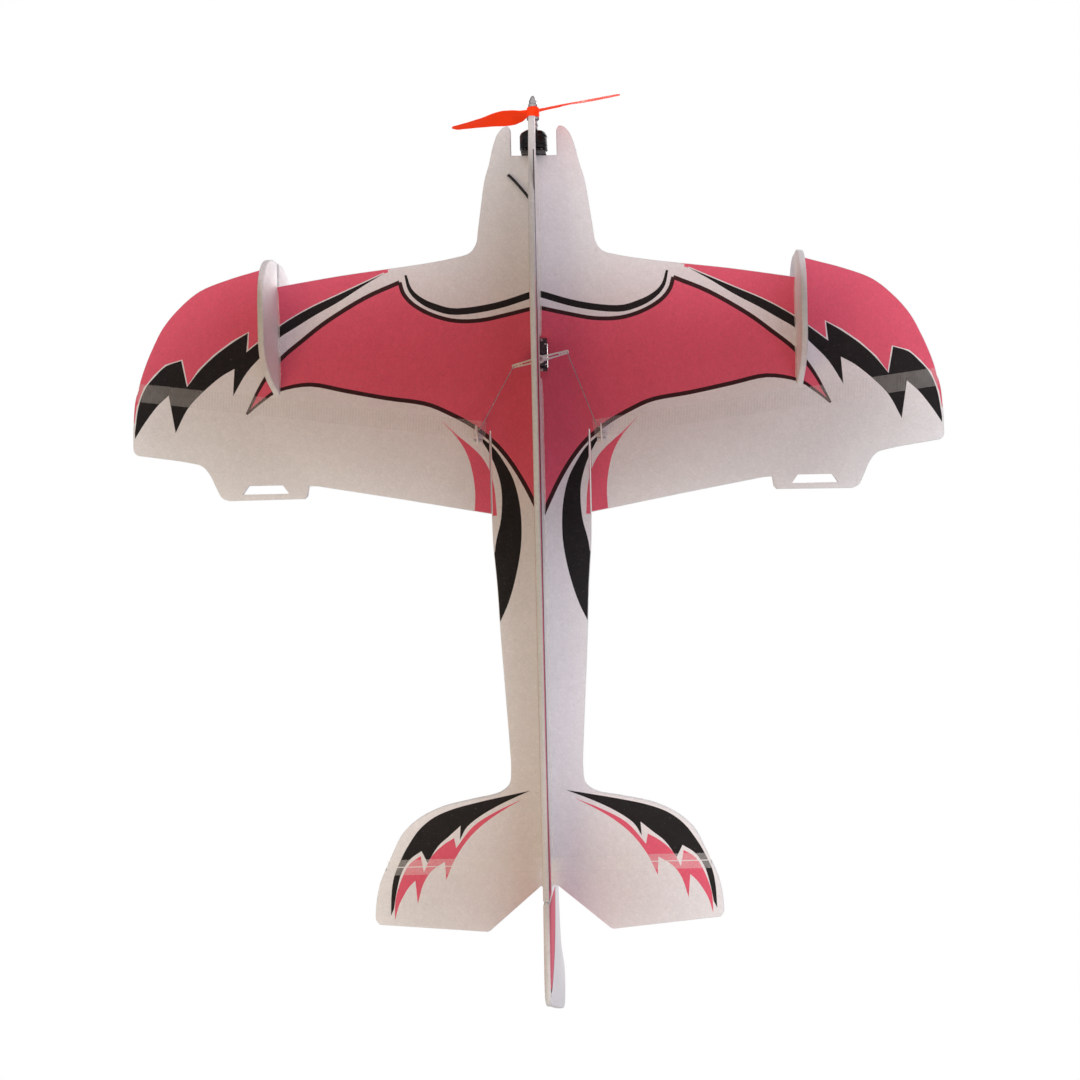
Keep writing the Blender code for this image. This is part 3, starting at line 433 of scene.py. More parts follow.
def smooth_outline(points, per_span=5):
    """Passes a curve through each run of soft points. kind holds c at a corner and h where a hinge edge starts."""
    n = len(points)
    start = next(i for i, q in enumerate(points) if "c" in q[2])
    pts = points[start:] + points[:start]
    out = []
    i = 0
    while i < n:
        run = [pts[i]]
        j = i + 1
        while j < n and "c" not in pts[j][2]:
            run.append(pts[j])
            j += 1
        run.append(pts[j % n])
        if len(run) == 2:
            out.append((run[0][0], run[0][1], "h" in run[0][2]))
        else:
            knots = [Vector(q[:2]) for q in run]
            ghost = [knots[0] * 2 - knots[1], *knots, knots[-1] * 2 - knots[-2]]
            for k in range(1, len(ghost) - 2):
                a, b, c, d = ghost[k - 1 : k + 3]
                ta = 0.0
                tb = ta + max(1e-6, (b - a).length ** 0.5)
                tc = tb + max(1e-6, (c - b).length ** 0.5)
                td = tc + max(1e-6, (d - c).length ** 0.5)
                for s in range(per_span):
                    t = tb + (tc - tb) * s / per_span
                    a1 = a * ((tb - t) / (tb - ta)) + b * ((t - ta) / (tb - ta))
                    a2 = b * ((tc - t) / (tc - tb)) + c * ((t - tb) / (tc - tb))
                    a3 = c * ((td - t) / (td - tc)) + d * ((t - tc) / (td - tc))
                    b1 = a1 * ((tc - t) / (tc - ta)) + a2 * ((t - ta) / (tc - ta))
                    b2 = a2 * ((td - t) / (td - tb)) + a3 * ((t - tb) / (td - tb))
                    q = b1 * ((tc - t) / (tc - tb)) + b2 * ((t - tb) / (tc - tb))
                    out.append((q.x, q.y, False))
        i = j
    area = sum(a[0] * b[1] - b[0] * a[1] for a, b in zip(out, out[1:] + out[:1]))
    if area < 0:
        turned = out[::-1]
        out = [(q[0], q[1], turned[(k + 1) % len(turned)][2]) for k, q in enumerate(turned)]
    return out


def inset(outline, plain, hinge):
    n = len(outline)
    moved = []
    for i in range(n):
        here = Vector(outline[i][:2])
        back = here - Vector(outline[i - 1][:2])
        ahead = Vector(outline[(i + 1) % n][:2]) - here
        n1 = Vector((-back.y, back.x)).normalized()
        n2 = Vector((-ahead.y, ahead.x)).normalized()
        d1 = hinge if outline[i - 1][2] else plain
        d2 = hinge if outline[i][2] else plain
        cross = n1.x * n2.y - n1.y * n2.x
        if abs(cross) < 0.05:
            moved.append(here + (n1 + n2).normalized() * max(d1, d2))
        else:
            moved.append(here + Vector(((d1 * n2.y - d2 * n1.y) / cross, (d2 * n1.x - d1 * n2.x) / cross)))
    return moved


def mirrored(points):
    out = []
    for i in range(len(points) - 1, -1, -1):
        u, v, kind = points[i]
        flag = "h" if i > 0 and "h" in points[i - 1][2] else ""
        out.append((-u, v, kind.replace("h", "") + flag))
    return out


def flip(region):
    return [(-u, v) for u, v in region]


def curve(*points, steps=6):
    """A smooth open run through points, for a trim edge."""
    return [(q.x, q.y) for q in eased(*[(u, v, 0.0) for u, v in points], steps=steps)]


def fill_caps(border, holes, regions):
    """Triangles of the flat face inside border and outside the holes, each with the colour of the last region that covers it."""
    loops = [border, *holes, *[r for r, _ in regions]]
    verts, faces = [], []
    for loop in loops:
        if sum(a[0] * b[1] - b[0] * a[1] for a, b in zip(loop, list(loop[1:]) + [loop[0]])) < 0:
            loop = list(loop)[::-1]
        base = len(verts)
        verts += [Vector(q[:2]) for q in loop]
        faces.append(list(range(base, base + len(loop))))
    points, _, tris, _, _, owners = delaunay_2d_cdt(verts, [], faces, 0, 1e-4, True)
    kept = []
    hole_ids = set(range(1, 1 + len(holes)))
    first = 1 + len(holes)
    for tri, own in zip(tris, owners):
        if 0 not in own or hole_ids & set(own):
            continue
        inks = [k for k in own if k >= first]
        kept.append((tuple(tri), regions[max(inks) - first][1] if inks else W))
    return points, kept


def foam_sheet(name, points, body, replaced, over=(), under=(), upright=None, holes=(), lift=(0.0, 0.0), edge_colour=C, base=(W, W), wedge_colour=None, per_span=5, thick=FOAM):
    """A foam sheet with printed faces. over and under list (region, colour) for the +h (or +x) and -h (or -x) face. holes go through."""
    outline = smooth_outline(points, per_span) if points and len(points[0]) == 3 else points
    half = thick / 2
    soft = 1.1
    arc = [(soft * (1 - math.sin(a)), half - soft * (1 - math.cos(a))) for a in (math.radians(x) for x in (0, 30, 60, 90))]
    wedge = any(q[2] for q in outline)
    levels = [(-w, plain) for plain, w in arc] + ([(0.0, 0.0)] if wedge else []) + [(w, plain) for plain, w in arc[::-1]]
    bm = bmesh.new()

    def put(u, v, w):
        return (u, v, w) if upright is None else (upright + w, u, v)

    count = len(outline)
    walls = [inset(outline, plain, abs(w)) for w, plain in levels]
    # Each face is filled first, so that the rim uses the same points as the colour edges that reach it.
    sides = []
    for which, (w, regions, ground) in enumerate(((-half, under, base[0]), (half, over, base[1]))):
        border = walls[0 if which == 0 else -1]
        pts, tris = fill_caps([(q.x, q.y) for q in border], [list(h) for h in holes], [([(a, b) for a, b in r], c) for r, c in regions])
        verts = [bm.verts.new(put(q.x, q.y, w)) for q in pts]
        for tri, colour in tris:
            try:
                f = bm.faces.new([verts[k] for k in tri])
            except ValueError:
                continue
            f.material_index = ground if colour == W else colour
        sides.append((pts, verts))
    # The rim: rings of the middle levels, joined to the border of each face.
    middle = [[bm.verts.new(put(q.x, q.y, levels[i][0])) for q in walls[i]] for i in range(1, len(levels) - 1)]
    for low, high in zip(middle, middle[1:]):
        for k in range(count):
            n = (k + 1) % count
            f = bm.faces.new((low[k], low[n], high[n], high[k]))
            f.material_index = edge_colour if not outline[k][2] else (edge_colour if wedge_colour is None else wedge_colour)
    for which, (pts, verts) in enumerate(sides):
        border = [bm_v for bm_v in walls[0 if which == 0 else -1]]
        ring = middle[0 if which == 0 else -1]
        flat = {}
        for k, q in enumerate(pts):
            flat.setdefault((round(q.x, 2), round(q.y, 2)), verts[k])
        for k in range(count):
            n = (k + 1) % count
            a, b = border[k], border[n]
            d = b - a
            length = d.length
            if length < 1e-6:
                continue
            on = []
            for i, q in enumerate(pts):
                s = (q - a).dot(d) / length
                if -1e-3 <= s <= length + 1e-3 and abs((q - a).x * d.y - (q - a).y * d.x) / length < 2e-3:
                    on.append((s, verts[i]))
            on.sort(key=lambda t: t[0])
            chain = [v for _, v in on if v.link_faces]
            if len(chain) < 2:
                continue
            # Each stretch of the border becomes a triangle or quad that runs down to the ring.
            share = [max(0.0, min(1.0, s / length)) for s, v in on if v.link_faces]
            low_a, low_b = ring[k], ring[n]
            cut = max(range(len(chain) - 1), key=lambda i: share[i + 1] - share[i])
            for i in range(len(chain) - 1):
                if i < cut:
                    quad = (chain[i], chain[i + 1], low_a)
                elif i == cut:
                    quad = (chain[i], chain[i + 1], low_b, low_a)
                else:
                    quad = (chain[i], chain[i + 1], low_b)
                try:
                    f = bm.faces.new(quad)
                except ValueError:
                    continue
                tone = [g.material_index for e in chain[i].link_edges if e.other_vert(chain[i]) is chain[i + 1] for g in e.link_faces if g is not f]
                hinge_face = outline[k][2]
                f.material_index = (edge_colour if wedge_colour is None else wedge_colour) if hinge_face else (tone[0] if tone and tone[0] != W else edge_colour)
    # Walls of the cut-outs join the two faces.
    for hole in holes:
        near = []
        for pts, verts in sides:
            index = {(round(q.x, 3), round(q.y, 3)): v for q, v in zip(pts, verts)}
            near.append([index.get((round(u, 3), round(v, 3))) for u, v in hole])
        low, high = near
        for k in range(len(hole)):
            n = (k + 1) % len(hole)
            if None in (low[k], low[n], high[k], high[n]):
                continue
            try:
                bm.faces.new((low[k], low[n], high[n], high[k])).material_index = C
            except ValueError:
                pass
    loose = [v for v in bm.verts if not v.link_faces]
    bmesh.ops.delete(bm, geom=loose, context="VERTS")
    bmesh.ops.remove_doubles(bm, verts=bm.verts, dist=1e-4)
    obj = finish(name, bm, SKINS, body, replaced, angle=35.0)
    return obj


def stroke(points, width, taper=(1.0, 1.0)):
    """A ribbon along an open run of points, for a drawn line."""
    pts = [Vector(q) for q in points]
    left, right = [], []
    for i, q in enumerate(pts):
        d = (pts[min(i + 1, len(pts) - 1)] - pts[max(i - 1, 0)]).normalized()
        n = Vector((-d.y, d.x)) * width / 2
        s = i / (len(pts) - 1)
        n *= taper[0] + (1.0 - taper[0]) * min(1.0, s * 4) if s < 0.25 else (taper[1] + (1.0 - taper[1]) * min(1.0, (1 - s) * 4) if s > 0.75 else 1.0)
        left.append(tuple(q + n))
        right.append(tuple(q - n))
    return left + right[::-1]


# ------------------------------------------------------------------ printed trim, in plan (x, p), port half
FRONT_EDGE = curve((0, -204), (30, -197), (56, -192), (81, -192), (103, -198), (121, -208), (131, -219), (135, -231), steps=4)
OUTER_EDGE = curve((135, -231), (170, -216), (207, -194), (231, -176), (254, -157), (272, -134), (288, -104), steps=4)
AFT_EDGE = curve((288, -104), (272, -117), (256, -127), (225, -132), (190, -125), (150, -117), (113, -111), (89, -101), (66, -88), (46, -72), (31, -54), (18, -33), (8, -13), (0, 4), steps=4)
FIELD = FRONT_EDGE + OUTER_EDGE[1:] + AFT_EDGE[1:]
FIELD_FULL = FIELD + flip(FIELD)[::-1][1:-1]
CRESCENT = curve((0, -218), (40, -206), (79, -201), (101, -206), (116, -214), (125, -224), (129, -238), steps=4)
BAND_TOP = curve((150, -240), (168, -232), (195, -220), (220, -209), (239, -199), (255, -189), (270, -178), (287, -165), steps=4)
FLASH = BAND_TOP + [(285, -184)] + curve((285, -184), (300, -175), (318, -162), (333, -148), (346, -132), steps=4)[1:] + [(351, -158)] \
    + curve((351, -158), (366, -153), (377, -143), (387, -131), (394, -113), (398, -88), steps=4)[1:] + [(398, -82)] \
    + curve((398, -82), (389, -96), (376, -113), (364, -124), steps=4)[1:] + [(358, -87)] + curve((358, -87), (346, -110), (330, -127), (313, -141), (299, -149), steps=4)[1:] \
    + [(301, -122)] + curve((301, -122), (287, -145), (270, -163), (255, -178), (239, -188), (219, -200), (195, -213), (171, -228), (150, -240), steps=4)[1:-1]
TIP_RED = [(146, -241), (150, -275), (430, -275), (430, -92), (396, -92)] + [(394, -113), (387, -131), (377, -143), (366, -153), (351, -158), (346, -132), (318, -162), (300, -175), (285, -184), (287, -165)] \
    + BAND_TOP[::-1][1:]
TIP_EDGING = stroke(BAND_TOP, 2.2) , stroke([(287, -165), (285, -184), (300, -175), (318, -162), (333, -148), (346, -132), (351, -158), (366, -153), (377, -143), (387, -131), (394, -113), (398, -88)], 3.4)
SWOOSH = curve((62, -80), (46, -66), (35, -50), (27, -34), (22, -14), (20, 8), (21, 32), (26, 59), (34, 86), (44, 108), steps=4) \
    + curve((47, 96), (48, 60), (46, 30), (40, 4), (39, -24), (44, -46), (52, -64), (62, -80), steps=4)[:-1]
ROOT_RED = curve((98, -95), (81, -79), (61, -61), (51, -45), (46, -26), (44, 1), steps=4) + curve((66, 1), (65, -24), (68, -46), (73, -62), (82, -77), (98, -95), steps=4)[:-1]


def both(*pairs):
    out = []
    for region, colour in pairs:
        out += [(region, colour), (flip(region), colour)]
    return out


PLAN = both((TIP_RED, R), (TIP_EDGING[0], W), (TIP_EDGING[1], W), (FLASH, K)) + [(FIELD_FULL, R)] + both(
    (stroke(OUTER_EDGE, 4.2, (1.0, 0.5)), D), (stroke(AFT_EDGE, 4.2, (0.5, 1.0)), D), (SWOOSH, K), (ROOT_RED, R))
PLAN += [(stroke(FRONT_EDGE[::-1] + flip(FRONT_EDGE)[1:], 4.0), D), (stroke(CRESCENT[::-1] + flip(CRESCENT)[1:], 6.6, (0.35, 0.35)), K)]

TAIL_BLACK = curve((18, 273), (45, 278), (71, 283), (97, 289), (118, 297), (134, 309), (146, 325), (154, 339), (161, 355), (164, 372), (165, 393), steps=4) \
    + curve((163, 393), (158, 367), (153, 351), (144, 338), (132, 330), steps=4)[1:] + [(126, 342)] + curve((126, 342), (115, 326), (103, 316), (91, 306), steps=4)[1:] \
    + [(92, 320)] + curve((92, 320), (84, 307), (67, 295), (45, 284), (18, 273), steps=4)[1:-1]
TAIL_RED = curve((26, 281), (54, 293), (78, 307), (96, 328), steps=4) + [(98, 318)] + curve((98, 318), (110, 325), (122, 336), (130, 351), steps=4)[1:] + [(133, 335)] \
    + curve((133, 335), (145, 343), (154, 359), (160, 378), (161, 398), steps=4)[1:] + curve((161, 398), (156, 382), (147, 367), (139, 359), steps=4)[1:] \
    + [(137, 382)] + curve((137, 382), (131, 363), (122, 350), (108, 341), steps=4)[1:] + [(107, 359)] + curve((107, 359), (97, 338), (83, 319), (66, 304), (47, 292), (26, 281), steps=4)[1:-1]
TAIL = both((TAIL_BLACK, K), (TAIL_RED, R), (SWOOSH, K))
# The print on one half sits a little further in than on the other.
TAIL = [([(x * 0.95, p) for x, p in region] if min(x for x, _ in region) < -100 else region, colour) for region, colour in TAIL]

# ------------------------------------------------------------------ foam sheets
WING_HALF = [
    (22.5, -354.0, "c"), (22.5, -379.0, "c"), (25.5, -383.0, "s"), (30.5, -381.5, "s"), (36.0, -375.0, "s"),
    (40.8, -362.0, "s"), (44.6, -346.0, "s"), (49.4, -330.0, "s"), (53.4, -305.0, "s"), (57.0, -280.0, "s"),
    (59.0, -268.0, "s"), (65.5, -259.0, "s"), (80.0, -254.5, "s"), (112.0, -249.0, "s"), (192.0, -239.0, "s"),
    (SIDE_X - 2.0, -229.0, "c"), (SIDE_X + 3.5, -249.0, "c"), (279.5, -244.0, "s"), (300.8, -238.0, "s"),
    (332.0, -226.0, "s"), (354.0, -208.0, "s"), (369.0, -190.0, "s"), (378.6, -172.0, "s"), (386.5, -154.0, "s"),
    (392.0, -138.0, "s"), (394.4, hinge_p(394.4), "c"), (48.75, hinge_p(48.75), "c"), (48.75, 0.0, "c"),
]
rect = lambda u0, v0, u1, v1: [(u0, v0), (u1, v0), (u1, v1), (u0, v1)]
foam_sheet("foam_wing", WING_HALF + mirrored(WING_HALF), "airframe", ["wing_plate"], over=PLAN, under=PLAN,
           holes=[rect(-3.4, -168.2, 9.4, -144.2)])
REAR_HALF = [
    (49.2, 0.0, "c"), (48.4, 30.0, "s"), (45.4, 70.0, "s"), (43.2, 115.0, "s"), (39.9, 170.0, "s"), (36.6, 225.0, "s"),
    (35.6, 252.0, "s"), (37.6, 266.0, "s"), (47.0, 274.0, "s"), (74.0, 280.0, "s"), (104.0, 287.0, "s"),
    (128.0, 298.5, "s"), (144.0, 313.0, "s"), (154.0, 332.0, "s"), (160.0, ELEVATOR_P - 0.5, "c"),
]
foam_sheet("foam_rear_fuselage", REAR_HALF + mirrored(REAR_HALF), "airframe", ["rear_fuselage_plate"], over=TAIL, under=TAIL)
AILERON = [
    (49.2, hinge_p(49.2) + 0.4, "ch"), (395.2, hinge_p(395.2) + 0.4, "c"), (397.8, -116.0, "s"), (399.6, -94.0, "s"),
    (400.0, -80.0, "s"), (399.4, -69.0, "s"), (396.0, -65.4, "c"), (346.0, -57.4, "s"), (333.0, -53.5, "s"),
    (325.5, -45.0, "s"), (319.5, -32.0, "s"), (314.0, -22.0, "s"), (308.0, -19.0, "c"), (233.0, -19.5, "c"),
    (230.0, -22.5, "c"), (228.5, -32.0, "c"), (221.0, -31.8, "c"), (143.0, -18.0, "s"), (49.2, -0.6, "c"),
]
SLOT = [(248.0, -25.0), (254.0, -33.5), (288.0, -33.5), (294.0, -25.0)]
for side, sign in (("left", -1), ("right", 1)):
    foam_sheet(f"foam_aileron_{side}", AILERON if sign > 0 else mirrored(AILERON), f"aileron_{side}", [f"aileron_{side}"],
               over=PLAN, under=PLAN, holes=[[(sign * u, v) for u, v in SLOT]], wedge_colour=C)
ELEVATOR_HALF = [
    (160.6, ELEVATOR_P, "c"), (166.2, 359.0, "s"), (169.8, 373.0, "s"), (171.6, 387.0, "s"), (171.6, 397.0, "s"),
    (168.0, 402.0, "c"), (62.0, 411.5, "c"), (59.0, 410.0, "c"), (8.0, 367.0, "c"),
]
half_mirror = mirrored(ELEVATOR_HALF)
half_mirror[-1] = (half_mirror[-1][0], half_mirror[-1][1], "ch")
foam_sheet("foam_elevator", ELEVATOR_HALF + half_mirror, "elevator", ["elevator"], over=TAIL, under=TAIL, wedge_colour=C)

LOWER = [
    (-389.0, -16.5, "c"), (-352.5, -16.5, "c"), (-352.5, -HALF, "c"), (-174.5, -HALF, "c"),
    (-174.5, -22.0, "c"), (-133.5, -22.0, "c"), (-133.5, -HALF, "c"), (342.0, -HALF, "c"),
    (342.0, -18.0, "c"), (RUDDER_P - 0.5, -18.0, "c"), (RUDDER_P - 0.5, -52.0, "c"), (310.0, -55.0, "s"),
    (220.0, -58.5, "s"), (130.0, -60.0, "c"), (-205.0, -60.0, "c"), (-262.0, -56.5, "s"), (-320.0, -47.0, "s"),
    (-365.0, -34.0, "s"), (-385.0, -27.0, "s"),
]
# Side print: a red sweep along the belly edge with a thin dark line over it, and a red and black sweep that climbs to the fin.
BELLY_RED = curve((-250, -62), (-180, -52), (-60, -47), (60, -46), (180, -44), (280, -38), (372, -20), steps=4) + [(380, -66), (-250, -70)]
BELLY_LINE = stroke(curve((-262, -57), (-180, -48), (-60, -43), (60, -42), (180, -40), (280, -34), (372, -15), steps=4), 2.0, (0.3, 1.0))
foam_sheet("foam_lower_fuselage", LOWER, "airframe", ["lower_fuselage"], over=[(BELLY_RED, R), (BELLY_LINE, K)], under=[(BELLY_RED, R), (BELLY_LINE, K)], upright=0.0)
UPPER = [
    (-389.0, 16.5, "c"), (-352.5, 16.5, "c"), (-352.5, HALF, "c"), (-171.0, HALF, "c"), (-171.0, 12.5, "c"),
    (-141.0, 12.5, "c"), (-141.0, HALF, "c"), (342.0, HALF, "c"), (342.0, 18.0, "c"),
    (RUDDER_P - 0.5, 18.0, "c"), (RUDDER_P - 0.5, 84.0, "c"), (352.0, 77.0, "s"), (316.0, 60.0, "s"),
    (262.0, 46.0, "s"), (170.0, 42.0, "s"), (70.0, 46.0, "s"), (-10.0, 58.0, "s"), (-70.0, 74.0, "s"),
    (-130.0, 85.0, "s"), (-185.0, 80.0, "s"), (-232.0, 63.0, "s"), (-268.0, 49.0, "s"), (-320.0, 41.0, "s"),
    (-365.0, 33.0, "s"), (-385.0, 26.0, "s"),
]
CANOPY = curve((-250, 50), (-228, 58), (-190, 72), (-140, 77), (-85, 71), (-40, 60), (-8, 50), steps=4) + curve((-8, 50), (-60, 46), (-130, 44), (-200, 45), (-250, 50), steps=4)[1:-1]
SIDE_RED = curve((-372, 20), (-300, 26), (-180, 30), (-40, 26), (110, 22), (240, 30), (372, 62), steps=4) + curve((380, 48), (240, 19), (110, 10), (-40, 10), (-180, 14), (-372, 20), steps=4)[:-1]
SIDE_LINE = stroke(curve((-340, 29), (-180, 35), (-40, 31), (110, 27), (240, 35), (372, 70), steps=4), 2.2, (0.3, 1.0))
foam_sheet("foam_upper_fuselage", UPPER, "airframe", ["upper_fuselage"], over=[(CANOPY, K), (SIDE_RED, R), (SIDE_LINE, K)], under=[(CANOPY, K), (SIDE_RED, R), (SIDE_LINE, K)], upright=0.0,
           holes=[rect(12.5, 15.5, 36.5, 28.5), rect(-39.5, 17.5, -15.5, 30.5)])
RUDDER = [
    (RUDDER_P, 84.0, "ch"), (RUDDER_P, -52.0, "c"), (410.0, -56.0, "s"), (450.0, -57.0, "s"), (466.0, -52.0, "s"),
    (475.0, -38.0, "s"), (484.0, -10.0, "s"), (499.0, 35.0, "s"), (517.0, 90.0, "s"), (530.0, 135.0, "s"),
    (531.0, 152.0, "s"), (521.0, 163.0, "s"), (503.0, 164.0, "s"), (487.0, 154.0, "s"), (472.0, 134.0, "s"),
    (452.0, 110.0, "s"), (415.0, 94.0, "s"),
]
RUD_EDGE = curve((340, 34), (372, 32), (402, 26), (428, 12), (446, -10), (458, -40), (454, -64), steps=5)
RUD_RED = [(338, -66)] + RUD_EDGE
RUD_DARK = stroke(RUD_EDGE, 2.8, (0.4, 1.0))
RUD_DARK2 = stroke(curve((344, -34), (384, -38), (424, -44), (462, -54), steps=5), 2.2, (0.3, 0.6))
foam_sheet("foam_rudder", RUDDER, "rudder", ["rudder"], over=[(RUD_RED, R), (RUD_DARK, K), (RUD_DARK2, K)], under=[(RUD_RED, R), (RUD_DARK, K), (RUD_DARK2, K)], upright=0.0, wedge_colour=C)
SIDE_PLATE = [
    (-253.0, HALF, "c"), (-252.0, 22.0, "s"), (-244.0, 42.0, "s"), (-226.0, 56.0, "s"), (-206.0, 60.0, "c"),
    (-166.0, 60.0, "c"), (-152.0, 55.0, "s"), (-136.0, 36.0, "s"), (-122.0, HALF, "c"),
]
for side, sign in (("left", -1), ("right", 1)):
    for level, up in (("upper", 1), ("lower", -1)):
        foam_sheet(f"foam_side_plate_{side}_{level}", [(u, v * up, k) for u, v, k in SIDE_PLATE], "airframe", [f"side_plate_{side}_{level}"],
                   upright=sign * SIDE_X)

# ------------------------------------------------------------------ hinge tapes
def skin(name, a, b, bodies, regions, w0, w1, side=-1, upright=False):
    """The printed skin of the foam, which runs unbroken across the hinge."""
    a, b = Vector((*a, 0.0)), Vector((*b, 0.0))
    along = (b - a).normalized()
    across = Vector((-along.y, along.x, 0.0))
    if (across.x if upright else across.y) < 0:
        across = -across
    rows = [w0, -0.4, 0.1, 0.8, 1.7, 2.7, w1] if bodies else [w0, 0.0, w1]
    bm = bmesh.new()
    for s0, s1 in zip(rows, rows[1:]):
        border = [tuple((q + across * s).xy) for q, s in ((a, s0), (b, s0), (b, s1), (a, s1))]
        pts, tris = fill_caps(border, [], regions)
        lift = HALF + 0.02
        verts = [bm.verts.new((side * lift, q.x, q.y) if upright else (q.x, q.y, side * lift)) for q in pts]
        for tri, colour in tris:
            bm.faces.new([verts[k] for k in tri]).material_index = colour
    bmesh.ops.delete(bm, geom=[v for v in bm.verts if not v.link_faces], context="VERTS")
    bmesh.ops.remove_doubles(bm, verts=bm.verts, dist=2e-3)
    bmesh.ops.recalc_face_normals(bm, faces=bm.faces)
    out = Vector((side, 0, 0)) if upright else Vector((0, 0, side))
    if sum(f.normal.dot(out) for f in bm.faces) < 0:
        bmesh.ops.reverse_faces(bm, faces=bm.faces)
    bmesh.ops.solidify(bm, geom=list(bm.faces), thickness=-0.10)
    if not bodies:
        return finish(name, bm, SKINS, "airframe", (), angle=25.0)
    obj = finish(name, bm, SKINS, None, angle=25.0)
    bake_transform(obj)
    return obj


def tape(name, a, b, replaced, wide, film_mat, side=-1, upright=False, h0=-HALF):
    """A tape across a hinge, from hinge point a to b in plan, half its width on each sheet."""
    a, b = Vector((*a, 0.0)), Vector((*b, 0.0))
    along = (b - a).normalized()
    across = Vector((-along.y, along.x, 0.0))
    if across.y < 0:
        across = -across
    length = (b - a).length
    steps = [-wide / 2, -wide / 3, -wide / 6, -1.2, -0.5, 0.0, 0.5, 1.2, wide / 6, wide / 3, wide / 2]
    bm = bmesh.new()
    thick = 0.12

    def put(q, lift):
        if upright:
            return (side * (HALF + lift), q.y, q.x)
        return (q.x, q.y, h0 + side * lift)

    rows = []
    n = max(2, int(length / 12))
    for lift in (0.18, 0.18 + thick):
        rows.append([[bm.verts.new(put(a + along * (length * i / n) + across * w, lift)) for w in steps] for i in range(n + 1)])
    for which, grid in enumerate(rows):
        for i in range(n):
            for k in range(len(steps) - 1):
                bm.faces.new((grid[i][k], grid[i + 1][k], grid[i + 1][k + 1], grid[i][k + 1])).material_index = 0
    low, high = rows
    for i in range(n):
        for k in (0, len(steps) - 1):
            bm.faces.new((low[i][k], low[i + 1][k], high[i + 1][k], high[i][k])).material_index = 0
    for k in range(len(steps) - 1):
        for i in (0, n):
            bm.faces.new((low[i][k], low[i][k + 1], high[i][k + 1], high[i][k])).material_index = 0
    obj = finish(name, bm, film_mat, None, angle=30.0)
    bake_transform(obj)
    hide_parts(*replaced)
    return obj


for side, sign in (("left", -1), ("right", 1)):
    skin(f"hinge_skin_aileron_{side}", (sign * 49.4, hinge_p(49.4)), (sign * 394.2, hinge_p(394.2)), ("airframe", f"aileron_{side}"), PLAN, -1.3, 4.7)
skin("seam_skin_rear_fuselage", (-48.3, 0.0), (48.3, 0.0), None, PLAN, -1.4, 1.4)
# The white strip just ahead of the elevator hinge is a painted highlight of the tape edge.
skin("hinge_skin_elevator", (-159.6, ELEVATOR_P - 0.4), (159.6, ELEVATOR_P - 0.4), ("airframe", "elevator"), TAIL + [(rect(-161.0, ELEVATOR_P - 0.9, 161.0, ELEVATOR_P - 0.1), W)], -1.3, 4.6)
for side, sign in (("left", -1), ("right", 1)):
    tape(f"hinge_tape_aileron_{side}", (sign * 53.0, hinge_p(53.0)), (sign * 394.0, hinge_p(394.0)),
         [f"aileron_tape_{side}"], 18.0, TAPE_FILM)
    tape(f"hinge_tape_elevator_{side}", (sign * 5.0, ELEVATOR_P - 0.2), (sign * 159.5, ELEVATOR_P - 0.2),
         [f"elevator_tape_{side}"], 15.0, CLEAR_TAPE)
tape("hinge_tape_rudder", (22.0, RUDDER_P - 0.2), (82.0, RUDDER_P - 0.2), ["rudder_tape"], 14.0, CLEAR_TAPE, upright=True)


# ------------------------------------------------------------------ glue fillets where the upright sheets meet the flat ones
def fillet(name, runs, size=1.5):
    bm = bmesh.new()
    for a, b, d1, d2 in runs:
        a, b, d1, d2 = Vector(a), Vector(b), Vector(d1), Vector(d2)
        n = max(3, int((b - a).length / 9))
        rings = []
        for i in range(n + 1):
            q = a.lerp(b, i / n)
            r = size * (0.75 + 0.5 * random.random()) * (0.5 if i in (0, n) else 1.0)
            ring = [q - d1 * 0.2 - d2 * 0.2, q + d1 * r - d2 * 0.15, q + (d1 + d2) * r * 0.30, q + d2 * r - d1 * 0.15]
            rings.append([bm.verts.new(v) for v in ring])
        for low, high in zip(rings, rings[1:]):
            for k in range(4):
                bm.faces.new((low[k], low[(k + 1) % 4], high[(k + 1) % 4], high[k]))
        bm.faces.new(rings[0][::-1])
        bm.faces.new(rings[-1])
    return finish(name, bm, GLUE, "airframe", angle=60.0)


UPV, DOWNV, LEFTV, RIGHTV = (0, 0, 1), (0, 0, -1), (-1, 0, 0), (1, 0, 0)
runs = []
for p0, p1 in ((-350.0, -176.0), (-132.0, -0.5), (0.8, 340.0)):
    for sx, dx in ((-HALF, LEFTV), (HALF, RIGHTV)):
        runs.append(((sx, p0, -HALF), (sx, p1, -HALF), dx, DOWNV))
for p0, p1 in ((-350.0, -173.0), (-139.0, -0.5), (0.8, 340.0)):
    for sx, dx in ((-HALF, LEFTV), (HALF, RIGHTV)):
        runs.append(((sx, p0, HALF), (sx, p1, HALF), dx, UPV))
for sign in (-1, 1):
    for h, d in ((HALF, UPV), (-HALF, DOWNV)):
        for sx, dx in ((sign * SIDE_X - HALF, LEFTV), (sign * SIDE_X + HALF, RIGHTV)):
            runs.append(((sx, -247.0 if dx is RIGHTV and sign > 0 or dx is LEFTV and sign < 0 else -226.0, h), (sx, -124.0, h), dx, d))
fillet("glue_beads", runs)


